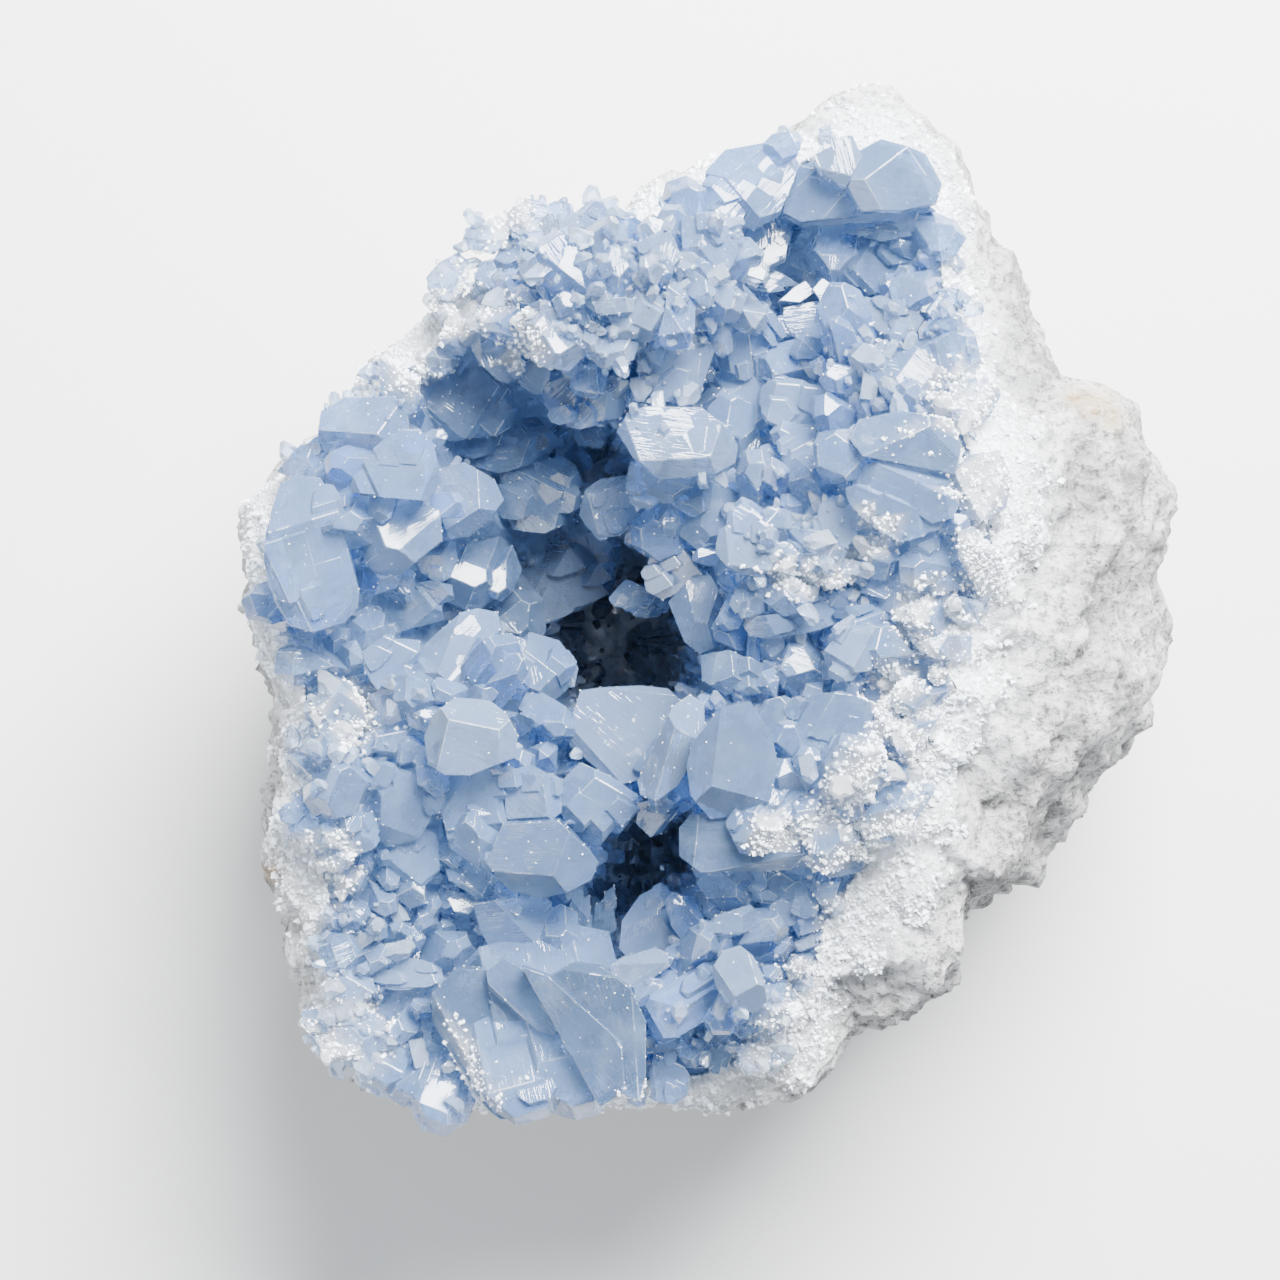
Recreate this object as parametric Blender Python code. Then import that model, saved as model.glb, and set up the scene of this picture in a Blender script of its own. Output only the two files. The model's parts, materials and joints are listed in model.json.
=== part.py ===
"""Celestite geode: a lump of pale limestone whose broken hollow is lined with blue crystals.

It lies on its rind with the hollow open upwards. The frame has +Z up and its origin on the
floor under the middle of the lump. Sizes are in millimetres here, and MM makes them metres.
"""

import math
import random

import bmesh
import bpy
from mathutils import Matrix, Vector, noise
from mathutils.bvhtree import BVHTree

MM = 0.001

# Where the photograph sees the lump from: straight above, in its own 1280 pixel frame
PICTURE_CENTRE_PX = 640
FOCAL_PX = 3900
EYE_HEIGHT = 560
HOLLOW_AXIS = Vector((-9, -4.8))

# The outline of the lump at its widest, as azimuth in degrees and radius from the hollow's axis
WIDEST_RADIUS = (
    (0, 69), (7, 68.5), (15, 72.5), (24, 71.5), (32, 65.5), (42, 69.5), (48, 72), (57, 77.5),
    (62, 79), (66, 80.5), (70, 78), (77, 66), (84, 60.5), (90, 57.5), (98, 55), (108, 52.5),
    (123, 50.5), (130, 49.5), (141, 50), (150, 50.5), (160, 53.5), (168, 51.5), (176, 50.5),
    (184, 49), (192, 48.5), (201, 53), (210, 58), (220, 62), (230, 67.5), (237, 69),
    (245, 68), (252, 65), (260, 62.5), (270, 62), (280, 64.5), (290, 63.5), (298, 60),
    (305, 61), (314, 59.5), (320, 57), (328, 61), (337, 61.5), (345, 64), (353, 67.5),
)
WIDEST_HEIGHT = (
    (0, 34), (45, 36), (90, 42), (135, 47), (180, 49), (225, 46), (270, 44), (315, 37),
)
# The shoulder where the rounded rind turns into the broken top: its inset and its height
SHOULDER_INSET = (
    (0, 19), (8, 18), (18, 13), (27, 8), (45, 8), (60, 6), (75, 2.5), (95, 2), (180, 2),
    (270, 2), (300, 2.5), (318, 5), (330, 11), (340, 15), (352, 19),
)
SHOULDER_HEIGHT = (
    (0, 61), (27, 59), (60, 54), (90, 55), (135, 56), (180, 57), (225, 52), (270, 52),
    (300, 56), (330, 61),
)
# The lip where rock gives way to crystals
LIP_RADIUS = (
    (0, 40), (7, 43), (15, 45.5), (24, 48), (32, 49), (38, 51), (48, 58), (57, 68),
    (65, 71), (72, 65), (80, 57.5), (90, 54.5), (100, 52), (110, 49.5), (120, 48), (140, 47),
    (158, 48.5), (175, 46), (190, 43.5), (202, 46.5), (215, 50), (228, 57), (240, 62),
    (250, 61), (262, 58), (275, 57.5), (285, 55), (295, 48), (308, 43), (320, 40),
    (335, 39), (348, 38.5),
)
LIP_HEIGHT = (
    (0, 68), (30, 66), (60, 58), (90, 58), (120, 58), (150, 60), (180, 60), (210, 58),
    (240, 54), (270, 55), (300, 62), (330, 67),
)

LIP_BREAKS = 2.5
RIM_LEAST = 1.5
# How far from the lip the rock's lumps reach their full height
LIP_CALM = 11
# Lumps and ledges on the rock's broken side, as a place in the picture, radius and push
RELIEF = (
    (1100, 400, 9, 2.2), (1030, 310, 6, -2), (965, 655, 8, -4.5), (1045, 620, 8, 2.5),
    (968, 780, 7, -3), (1095, 700, 9, 2), (1000, 850, 7, -2), (1130, 530, 8, 2),
    (1085, 480, 7, -2.4), (905, 950, 8, 2.5), (990, 450, 8, 2), (1040, 740, 6, -2.5),
    (985, 200, 6, -1.5), (860, 1010, 7, -2), (1010, 560, 6, -2),
)

# The flat spot that the lump rests on
REST_RADII = (27, 24)
REST_CENTRE = Vector((0, -2))

# The crystal bed: how far it dips under the lip, its least height and its thickness
BED_DIP = 9
HOLLOW_FLOOR = 12
BED_EDGE = 2
PIT_FLOOR = 6
PIT_SPREAD = 1.9
BED_THICKNESS = 14
CONTACT_GAP = 0.4
BED_BITE = 2

# Swellings of the bed, and below them its pits: a place in the picture, radius and rise
SWELLINGS = (
    (572, 292, 17, 19), (690, 262, 12, 12), (405, 492, 10, 13), (318, 560, 8, 7),
    (682, 462, 8, 13), (760, 545, 12, 11), (850, 400, 14, 8), (905, 480, 12, 7),
    (700, 745, 11, 12), (535, 830, 13, 12), (465, 715, 10, 8), (570, 1030, 14, 12),
    (705, 955, 10, 9), (800, 790, 12, 9), (845, 165, 12, 7), (345, 800, 9, 5),
    (420, 1030, 9, 6), (770, 1010, 8, 4),
)
PITS = (
    (628, 634, 10, 38), (655, 858, 6, 28), (602, 462, 4, 22), (505, 430, 9, 8),
    (470, 600, 7, 8), (815, 255, 8, 8), (598, 915, 6, 12), (560, 560, 8, 10),
)

# The named crystals: middle in the picture, the way each points (azimuth in the picture,
# tilt from the eye), length, width, thickness and lift above the bed
CRYSTALS = {
    "mound": (
        (568, 246, 90, 38, 10, 6, 5, 1), (606, 252, 80, 38, 10, 6.5, 5, 1),
        (533, 240, 100, 38, 10, 6.5, 5, 1), (492, 246, 130, 35, 9, 7, 5.5, 0),
        (462, 282, 160, 40, 9, 7, 5, 0), (457, 318, 190, 45, 9, 6.5, 5, 0),
        (464, 345, 215, 55, 10, 7, 5, 0), (502, 362, 285, 58, 11, 7.5, 5, 1),
        (535, 378, 270, 58, 9, 6, 4, 1), (590, 388, 255, 55, 14, 12, 8, 0),
        (672, 358, 285, 55, 13, 9.5, 7, 1), (708, 246, 20, 45, 12, 9, 7, 1),
        (717, 300, 350, 45, 9, 7, 5, 1), (745, 338, 330, 40, 12, 9, 7, 1),
        (648, 238, 60, 35, 10, 8, 6, 0), (560, 340, 265, 35, 10, 8, 6, 0),
        (610, 340, 290, 30, 10, 7.5, 6, 0), (640, 312, 320, 25, 10, 8, 6, 0),
    ),
    "recess": (
        (452, 398, 200, 50, 17, 12, 8, 0), (490, 425, 300, 40, 12, 9, 7, 0),
        (540, 488, 320, 55, 15, 11, 6, 1), (548, 572, 300, 58, 19, 15, 10, 2),
        (470, 570, 250, 40, 12, 10, 7, 0), (555, 440, 330, 45, 9, 7, 5, 0),
        (445, 618, 20, 50, 9, 7, 6, 0), (508, 610, 310, 45, 11, 9, 7, 0),
    ),
    "left": (
        (396, 532, 262, 58, 15, 9.5, 7.5, 3), (438, 562, 275, 62, 9, 5, 4, 2),
        (400, 462, 80, 40, 13, 11, 9, 2), (472, 500, 350, 60, 14, 9, 6, 2),
        (350, 490, 200, 50, 10, 5.5, 5, 1), (372, 422, 130, 40, 13, 11, 8, 1),
        (318, 470, 150, 45, 10, 7, 6, 0), (312, 560, 268, 66, 20, 9.5, 9, 2),
        (385, 605, 240, 50, 9, 7, 6, 0), (275, 600, 200, 50, 9, 7, 6, 0),
    ),
    "middle": (
        (462, 655, 55, 70, 14, 7.5, 6, 2), (540, 668, 10, 62, 13, 9, 6, 1),
        (380, 655, 180, 58, 12, 7, 6, 1), (335, 712, 250, 40, 10, 8.5, 7, 1),
        (470, 737, 100, 35, 13, 12, 10, 1), (395, 735, 220, 50, 9, 7, 6, 0),
        (545, 718, 330, 55, 9, 6, 5, 0), (310, 665, 170, 45, 9, 7, 6, 0),
        (632, 738, 172, 72, 20, 14.5, 8, 4), (662, 775, 265, 62, 9, 6, 4, 4),
        (697, 712, 60, 50, 9, 5, 4, 2), (752, 776, 245, 60, 20, 17, 9, 1),
        (765, 705, 200, 52, 17, 12, 9, 0), (825, 735, 340, 45, 12, 10, 8, 0),
        (652, 817, 250, 50, 8, 5.5, 5, 1),
    ),
    "bridge": (
        (678, 455, 240, 68, 17, 13.5, 9, 3), (611, 503, 215, 58, 11, 7.5, 7, 1),
        (592, 547, 225, 60, 9, 6, 5.5, 1), (655, 585, 235, 60, 13, 9, 6.5, 2),
        (700, 615, 268, 58, 13, 8, 6.5, 2), (748, 547, 215, 48, 11, 9, 7, 1),
        (815, 545, 330, 45, 9, 7.5, 6, 1), (825, 500, 20, 40, 9, 6.5, 5, 1),
        (806, 455, 60, 42, 9, 6.5, 5.5, 1), (700, 515, 290, 45, 10, 9, 7, 0),
        (800, 603, 190, 70, 17, 7.5, 6, 1), (860, 648, 200, 62, 12, 7, 6, 2),
        (753, 655, 85, 68, 9, 2.2, 2, 2), (758, 480, 100, 40, 9, 7, 5, 0),
        (745, 390, 300, 48, 12, 9, 7, 0), (795, 400, 250, 42, 11, 9, 7, 0),
    ),
    "far_right": (
        (795, 300, 120, 42, 11, 8, 6, 1), (828, 298, 60, 42, 11, 8, 7, 1),
        (880, 322, 30, 42, 10, 8, 6, 1), (850, 360, 200, 38, 12, 9, 7, 0),
        (905, 372, 330, 42, 12, 10, 7, 0), (945, 358, 10, 45, 11, 9, 6, 0),
        (965, 398, 340, 52, 9, 8, 5, 0), (905, 430, 200, 66, 20, 13, 9, 1),
        (892, 507, 210, 70, 20, 15, 9, 1), (985, 498, 45, 30, 8, 6.5, 5, 1),
        (1030, 546, 30, 25, 7, 6, 4.5, 1),
    ),
    "peak": (
        (868, 180, 350, 66, 23, 13, 10, 1), (820, 163, 150, 45, 14, 10, 7, 0),
        (752, 208, 250, 55, 14, 11, 8, 1), (785, 245, 290, 45, 12, 9, 7, 0),
        (838, 245, 260, 52, 12, 9, 6, 0), (882, 270, 220, 48, 12, 9, 6, 0),
        (930, 235, 330, 40, 9, 7, 5, 0), (690, 215, 110, 50, 10, 7, 6, 0),
        (880, 120, 70, 45, 9, 7, 5, 0),
    ),
    "near_left": (
        (312, 800, 160, 52, 12, 9, 7, 0), (352, 848, 240, 52, 12, 9, 6, 1),
        (430, 790, 190, 52, 17, 13, 9, 1), (535, 838, 240, 60, 22, 18, 10, 2),
        (592, 812, 20, 50, 12, 10, 8, 1), (416, 872, 270, 42, 9, 7, 6, 0),
        (515, 932, 70, 45, 12, 10, 7, 1), (460, 905, 150, 40, 8, 5, 4, 0),
        (405, 968, 120, 48, 10, 8, 5, 0), (350, 945, 200, 40, 10, 8, 6, 0),
        (345, 1015, 230, 48, 10, 8, 6, 0), (452, 1003, 230, 52, 14, 9, 7, 0),
        (560, 1030, 285, 60, 25, 18, 11, 2), (620, 1022, 300, 60, 20, 12, 8, 1),
        (448, 1072, 250, 60, 16, 9, 7, 0), (502, 1072, 270, 64, 14, 8, 6, 0),
        (390, 1062, 240, 48, 10, 8, 6, 0),
    ),
    "near_right": (
        (650, 922, 110, 52, 12, 8.5, 7, 1), (703, 905, 80, 42, 9, 7, 6, 0),
        (600, 905, 90, 48, 14, 9, 7, 0), (640, 967, 15, 72, 9, 3.8, 3.4, 2),
        (658, 1002, 200, 58, 9, 5.5, 4.5, 1), (740, 978, 120, 30, 10, 8.5, 6, 1),
        (795, 910, 30, 40, 9, 7.5, 6, 0), (722, 1035, 270, 58, 12, 5.5, 5, 1),
        (760, 1052, 300, 45, 9, 7, 6, 0), (668, 1072, 270, 58, 10, 6, 5, 0),
        (737, 846, 190, 62, 17, 12, 7, 0), (792, 866, 20, 45, 9, 7, 6, 0),
        (700, 950, 60, 40, 9, 6, 5, 0), (760, 930, 40, 35, 9, 7, 5, 0),
    ),
}

# A crystal's faces: the slope of its flanks and of the two pairs of faces that end it
FLANK_SLOPE = 38
ROOF_SLOPE = 50
CHISEL_SLOPE = 58
SMALL = 7.5
# How far the middle stands above the bed, and how far it lies from the root, in lengths
STAND = 0.12
ROOT = 0.35
UNEVEN = 0.13
ASKEW = 3

# Crystals too many to name, which crowd the mound and fill the bed between the others.
# A grain is the spacing and the range of widths.
MOUND_PX = (590, 302)
MOUND_RADIUS = 12
MOUND_FILLERS = 20
MOUND_GRAIN = (4.2, (5, 7.5))
BED_FILLERS = 45
BED_GRAIN = (5.6, (5.5, 9))
PIT_MOUTH = 1.35
SEED = 7

# How finely the two skins are cut up
RIND_COLUMNS = 60
BED_COLUMNS = 36
KEPT_FACES = 0.6
NEAR_ROCK = 1.5


def around(table, azimuth):
    """A smooth closed curve through the (azimuth, value) pairs of table, read at azimuth."""
    count = len(table)
    azimuth %= 360
    after = next((k for k, (at, _) in enumerate(table) if at > azimuth), count)
    knots = []
    for k in range(after - 2, after + 2):
        at, value = table[k % count]
        knots.append((at + 360 * (k // count), value))
    (a0, v0), (a1, v1), (a2, v2), (a3, v3) = knots
    span = a2 - a1
    t = (azimuth - a1) / span
    slope1 = (v2 - v0) / (a2 - a0) * span
    slope2 = (v3 - v1) / (a3 - a1) * span
    return (
        (2 * t**3 - 3 * t**2 + 1) * v1
        + (t**3 - 2 * t**2 + t) * slope1
        + (3 * t**2 - 2 * t**3) * v2
        + (t**3 - t**2) * slope2
    )


def shoulder_radius(azimuth):
    return around(WIDEST_RADIUS, azimuth) - around(SHOULDER_INSET, azimuth)


def lip_at(azimuth):
    """The radius and the height of the lip there, with its ragged breaks."""
    way = direction(azimuth).to_3d() * 4
    radius = around(LIP_RADIUS, azimuth) + LIP_BREAKS * noise.fractal(way, 0.6, 2.0, 3)
    radius = min(radius, shoulder_radius(azimuth) - RIM_LEAST)
    way.z = 9
    height = around(LIP_HEIGHT, azimuth) + LIP_BREAKS / 2 * noise.fractal(way, 0.6, 2.0, 3)
    return radius, height


def smooth(low, high, x):
    t = min(1, max(0, (x - low) / (high - low)))
    return t * t * (3 - 2 * t)


def direction(azimuth):
    angle = math.radians(azimuth)
    return Vector((math.cos(angle), math.sin(angle)))


def plan(px, py, height):
    """The place over which a point of that height shows at that pixel of the picture."""
    scale = (EYE_HEIGHT - height) / FOCAL_PX
    step = Vector((px - PICTURE_CENTRE_PX, PICTURE_CENTRE_PX - py))
    return HOLLOW_AXIS + step * scale


def bed_height(place):
    """The height of the crystal bed: a dish inside the lip, with its swellings and pits."""
    out = place - HOLLOW_AXIS
    azimuth = math.degrees(math.atan2(out.y, out.x))
    lip, lip_top = lip_at(azimuth)
    share = out.length / lip
    height = lip_top - BED_DIP * (1 - min(1, share) ** 2)
    inside = 1 - smooth(0.8, 1.02, share)
    for px, py, radius, rise in SWELLINGS:
        away = (place - plan(px, py, height)).length / radius
        height += rise * math.exp(-2 * away**2) * inside
    for px, py, radius, depth in PITS:
        away = (place - plan(px, py, height)).length / radius
        height -= depth * (1 - smooth(0.55, 1.5, away)) * inside
    return max(height, HOLLOW_FLOOR + PIT_FLOOR)


def bed_underside(place):
    """The height of the rock under the crystal bed: the same dish, lower and smoother."""
    out = place - HOLLOW_AXIS
    azimuth = math.degrees(math.atan2(out.y, out.x))
    lip, lip_top = lip_at(azimuth)
    share = min(1, out.length / lip)
    dish = lip_top - BED_DIP * (1 - share**2)
    depth = BED_EDGE + BED_THICKNESS * math.sqrt(1 - share)
    for px, py, radius, pit in PITS:
        away = (place - plan(px, py, dish)).length / (radius * PIT_SPREAD)
        depth += pit * math.exp(-2 * away**2) * (1 - share**4)
    return max(HOLLOW_FLOOR, dish - depth)


def lumpy(point, size, amount, roughness=0.55):
    """A push outwards for the point, from lumps about that size across."""
    return amount * noise.fractal(point / size, roughness, 2.0, 3)


def relief(point):
    """The push outwards there from the lumps and ledges that show in the picture."""
    push = 0
    for px, py, radius, rise in RELIEF:
        away = (point.xy - plan(px, py, point.z)).length / radius
        push += rise * math.exp(-2 * away**2)
    return push


def rind_section(azimuth):
    """One section through the rock from under its base, round its rim and into the hollow."""
    out = direction(azimuth)
    widest = around(WIDEST_RADIUS, azimuth)
    middle = around(WIDEST_HEIGHT, azimuth)
    shoulder = shoulder_radius(azimuth)
    top = around(SHOULDER_HEIGHT, azimuth)
    lip, lip_top = lip_at(azimuth)
    rest = REST_CENTRE + Vector((REST_RADII[0] * out.x, REST_RADII[1] * out.y))
    edge = HOLLOW_AXIS + out * widest
    points = [rest.to_3d()]
    for share in (0.16, 0.32, 0.47, 0.61, 0.74, 0.85, 0.94, 1):
        flat = rest.lerp(edge, share)
        rise = (1 - math.sqrt(1 - share**2)) ** 0.72
        points.append(Vector((flat.x, flat.y, middle * rise)))
    for share in (0.3, 0.6, 0.82, 1):
        turn = share * math.pi / 2
        radius = shoulder + (widest - shoulder) * math.cos(turn) ** 0.8
        height = middle + (top - middle) * math.sin(turn) ** 1.1
        flat = HOLLOW_AXIS + out * radius
        points.append(Vector((flat.x, flat.y, height)))
    for share in (0.33, 0.66, 1):
        radius = shoulder + (lip - shoulder) * share
        height = top + (lip_top - top) * share**0.8
        flat = HOLLOW_AXIS + out * radius
        points.append(Vector((flat.x, flat.y, height)))
    last = len(points) - 1
    for number in range(1, last):
        away = points[number] - Vector((REST_CENTRE.x, REST_CENTRE.y, middle * 0.8))
        push = lumpy(points[number], 19, 3.2) + lumpy(points[number] + away, 8, 1.7)
        if points[number].z > middle * 0.8:
            push += relief(points[number])
        push *= smooth(0, LIP_CALM, (points[number] - points[last]).length)
        points[number] += away.normalized() * push
        points[number].z = max(points[number].z, 0)
    for share in (0.955, 0.86, 0.72, 0.55, 0.38, 0.2):
        flat = HOLLOW_AXIS + out * (lip * share)
        points.append(Vector((flat.x, flat.y, bed_underside(flat))))
    return points


def bed_section(azimuth):
    """One section through the crystal bed, from under its middle, round the lip and back."""
    out = direction(azimuth)
    lip, lip_top = lip_at(azimuth)
    points = []
    for share in (0.2, 0.42, 0.62, 0.8, 0.94):
        flat = HOLLOW_AXIS + out * (lip * share)
        points.append(Vector((flat.x, flat.y, bed_underside(flat) - BED_BITE)))
    edge = HOLLOW_AXIS + out * (lip + BED_BITE / 2)
    points.append(Vector((edge.x, edge.y, lip_top - BED_BITE)))
    for share in (0.97, 0.88, 0.76, 0.63, 0.49, 0.36, 0.24, 0.14, 0.06):
        flat = HOLLOW_AXIS + out * (lip * share)
        points.append(Vector((flat.x, flat.y, bed_height(flat))))
    return points


def turned_skin(name, sections, first, last):
    """A closed mesh through sections all round, with a point that closes each end."""
    mesh = bmesh.new()
    rows = [[mesh.verts.new(point * MM) for point in section] for section in sections]
    start = mesh.verts.new(first * MM)
    end = mesh.verts.new(last * MM)
    for row, following in zip(rows, rows[1:] + rows[:1]):
        mesh.faces.new((start, following[0], row[0]))
        for k in range(len(row) - 1):
            mesh.faces.new((row[k], following[k], following[k + 1]))
            mesh.faces.new((row[k], following[k + 1], row[k + 1]))
        mesh.faces.new((row[-1], following[-1], end))
    bmesh.ops.recalc_face_normals(mesh, faces=mesh.faces[:])
    data = bpy.data.meshes.new(name)
    mesh.to_mesh(data)
    mesh.free()
    return data


def rind_skin(name):
    sections = [rind_section(360 * k / RIND_COLUMNS) for k in range(RIND_COLUMNS)]
    first = REST_CENTRE.to_3d()
    last = Vector((*HOLLOW_AXIS, bed_underside(HOLLOW_AXIS)))
    return turned_skin(name, sections, first, last)


def swollen(data, amount):
    """The mesh with every point moved outwards by the amount."""
    mesh = bmesh.new()
    mesh.from_mesh(data)
    for vert in mesh.verts:
        vert.co += vert.normal * amount * MM
    mesh.to_mesh(data)
    mesh.free()
    return data


def bed_skin(name):
    sections = [bed_section(360 * k / BED_COLUMNS) for k in range(BED_COLUMNS)]
    first = Vector((*HOLLOW_AXIS, bed_underside(HOLLOW_AXIS) - BED_BITE))
    last = Vector((*HOLLOW_AXIS, bed_height(HOLLOW_AXIS)))
    return turned_skin(name, sections, first, last)


def crystal_planes(length, width, thickness, chance):
    """The faces of one crystal about its middle, as (normal, distance)."""
    flank = math.radians(FLANK_SLOPE + chance.uniform(-4, 4))
    roof = math.radians(ROOF_SLOPE + chance.uniform(-8, 5))
    chisel = math.radians(CHISEL_SLOPE + chance.uniform(-6, 6))
    blunt = width * chance.uniform(0.08, 0.22)
    narrow = thickness * chance.uniform(0.12, 0.3)
    planes = [
        (Vector((0, 0, 1)), length / 2),
        (Vector((0, 0, -1)), length / 2),
    ]
    for sign in (-1, 1):
        if width > SMALL:
            planes.append((Vector((0, sign, 0)), thickness / 2))
        normal = Vector((sign * math.sin(roof), 0, math.cos(roof)))
        reach = length / 2 * math.cos(roof) + blunt * math.sin(roof)
        planes.append((normal, reach))
        normal = Vector((0, sign * math.sin(chisel), math.cos(chisel)))
        reach = length / 2 * math.cos(chisel) + narrow * math.sin(chisel)
        planes.append((normal, reach))
        for across in (-1, 1):
            normal = Vector((across * math.cos(flank), sign * math.sin(flank), 0))
            room = 0.5 if width > SMALL else 0.42
            planes.append((normal, width * room * math.cos(flank)))
    return planes


def crystal_mesh(name, length, width, thickness, chance):
    """One crystal: a block cut down by its faces, each a little uneven and askew."""
    mesh = bmesh.new()
    bmesh.ops.create_cube(mesh, size=2 * max(length, width, thickness) * MM)
    for normal, distance in crystal_planes(length, width, thickness, chance):
        axis = Vector([chance.uniform(-1, 1) for _ in range(3)])
        tilt = Matrix.Rotation(math.radians(chance.uniform(-ASKEW, ASKEW)), 3, axis)
        normal = tilt @ normal
        distance *= 1 + chance.uniform(-UNEVEN, UNEVEN)
        everything = mesh.verts[:] + mesh.edges[:] + mesh.faces[:]
        cut = bmesh.ops.bisect_plane(
            mesh,
            geom=everything,
            plane_co=normal * distance * MM,
            plane_no=normal,
            clear_outer=True,
        )
        edges = [g for g in cut["geom_cut"] if isinstance(g, bmesh.types.BMEdge)]
        if edges:
            bmesh.ops.edgeloop_fill(mesh, edges=edges)
    bmesh.ops.recalc_face_normals(mesh, faces=mesh.faces[:])
    data = bpy.data.meshes.new(name)
    mesh.to_mesh(data)
    mesh.free()
    return data


def standing(azimuth, tilt):
    """The turn of a crystal that points that way, with its broad face towards the eye."""
    a = math.radians(azimuth)
    t = math.radians(tilt)
    along = Vector((math.sin(t) * math.cos(a), math.sin(t) * math.sin(a), math.cos(t)))
    broad = Vector((-math.cos(t) * math.cos(a), -math.cos(t) * math.sin(a), math.sin(t)))
    across = broad.cross(along)
    return Matrix((across, broad, along)).transposed()


def rooted(place_of, azimuth, tilt, sizes, lift):
    """Where a crystal stands, whose middle shows at place_of(height) and whose root is sunk."""
    length = sizes[0]
    turn = standing(azimuth, tilt)
    along = turn.col[2]
    height = 65
    for _ in range(3):
        root = place_of(height) - along.xy * length * ROOT
        height = bed_height(root) + lift + length * STAND * along.z
    return Matrix.Translation(Vector((*place_of(height), height)) * MM) @ turn.to_4x4()


def named_crystals():
    for group, rows in CRYSTALS.items():
        for number, row in enumerate(rows):
            px, py, azimuth, tilt, length, width, thickness, lift = row
            chance = random.Random(f"{group} {number}")
            sizes = (length, width, thickness)
            turn = rooted(
                lambda z, px=px, py=py: plan(px, py, z), azimuth, tilt, sizes, lift
            )
            roll = Matrix.Rotation(math.radians(chance.uniform(-14, 14)), 4, "Z")
            yield f"{group}_{number}", turn @ roll, sizes, chance


def bed_slope(place):
    """Which way the bed faces: the azimuth it falls towards, and its tilt in degrees."""
    step = 1.5
    fall = Vector(
        (
            bed_height(place - Vector((step, 0))) - bed_height(place + Vector((step, 0))),
            bed_height(place - Vector((0, step))) - bed_height(place + Vector((0, step))),
        )
    )
    tilt = math.degrees(math.atan(fall.length / (2 * step)))
    return math.degrees(math.atan2(fall.y, fall.x)), tilt


def in_pit(place):
    return any(
        (place - plan(px, py, 55)).length < radius * PIT_MOUTH
        for px, py, radius, _ in PITS
    )


def filler_crystals(taken):
    """Crystals over the rest of the bed, kept apart from each other and from those taken."""
    chance = random.Random(SEED)
    centre = plan(*MOUND_PX, 70)
    for number in range(MOUND_FILLERS + BED_FILLERS):
        on_mound = number < MOUND_FILLERS
        spacing, widths = MOUND_GRAIN if on_mound else BED_GRAIN
        for _ in range(200):
            azimuth = chance.uniform(0, 360)
            share = math.sqrt(chance.uniform(0.01, 1))
            if on_mound:
                place = centre + direction(azimuth) * MOUND_RADIUS * share
            else:
                radius = lip_at(azimuth)[0] * 0.97
                place = HOLLOW_AXIS + direction(azimuth) * radius * share
            clear = all((place - other).length > spacing for other in taken)
            if clear and not in_pit(place):
                break
        else:
            continue
        taken.append(place)
        width = chance.uniform(*widths)
        sizes = (width * 1.5, width, width * chance.uniform(0.65, 0.9))
        falls, tilt = bed_slope(place)
        turn = rooted(
            lambda z, place=place: place,
            falls + chance.uniform(-50, 50),
            min(60, tilt * 0.8 + chance.uniform(5, 30)),
            sizes,
            0,
        )
        roll = Matrix.Rotation(chance.uniform(0, math.pi), 4, "Z")
        yield f"filler_{number}", turn @ roll, sizes, chance


def finish(name, colour, roughness, transmission=0.0):
    material = bpy.data.materials.new(name)
    material.use_nodes = True
    surface = material.node_tree.nodes["Principled BSDF"]
    surface.inputs["Base Color"].default_value = (*colour, 1)
    surface.inputs["Roughness"].default_value = roughness
    surface.inputs["Metallic"].default_value = 0
    surface.inputs["Transmission Weight"].default_value = transmission
    material.diffuse_color = (*colour, 1)
    return material


def add_object(name, data, collection, material=None):
    made = bpy.data.objects.new(name, data)
    collection.objects.link(made)
    if material:
        data.materials.append(material)
    return made


def main_body_only(data):
    """Leaves the largest connected piece of the mesh, without chips that a cut left."""
    mesh = bmesh.new()
    mesh.from_mesh(data)
    unseen = set(mesh.verts)
    bodies = []
    while unseen:
        todo = [unseen.pop()]
        body = set(todo)
        while todo:
            vert = todo.pop()
            for edge in vert.link_edges:
                other = edge.other_vert(vert)
                if other in unseen:
                    unseen.discard(other)
                    body.add(other)
                    todo.append(other)
        bodies.append(body)
    bodies.sort(key=len, reverse=True)
    chips = [vert for body in bodies[1:] for vert in body]
    bmesh.ops.delete(mesh, geom=chips, context="VERTS")
    mesh.to_mesh(data)
    mesh.free()


def boolean(made, operation, collection):
    cut = made.modifiers.new(operation.title(), "BOOLEAN")
    cut.operation = operation
    cut.operand_type = "COLLECTION"
    cut.collection = collection
    cut.solver = "MANIFOLD"


def apply_modifiers(made):
    graph = bpy.context.evaluated_depsgraph_get()
    fused = bpy.data.meshes.new_from_object(made.evaluated_get(graph))
    made.modifiers.clear()
    made.data = fused


def thin_out(made):
    """Takes out the slivers that the fusing left, but none of the faces near the rock."""
    tree = BVHTree.FromObject(
        bpy.data.objects["host_rock"], bpy.context.evaluated_depsgraph_get()
    )
    free = [
        vert.index
        for vert in made.data.vertices
        if tree.find_nearest(vert.co)[3] > NEAR_ROCK * MM
    ]
    group = made.vertex_groups.new(name="away_from_rock")
    group.add(free, 1, "REPLACE")
    thinned = made.modifiers.new("Thinned", "DECIMATE")
    thinned.ratio = KEPT_FACES
    thinned.vertex_group = group.name
    apply_modifiers(made)
    made.vertex_groups.clear()


def build_rock(scene):
    limestone = finish("limestone", (0.74, 0.73, 0.71), 0.9)
    return add_object("host_rock", rind_skin("host_rock"), scene, limestone)


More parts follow.
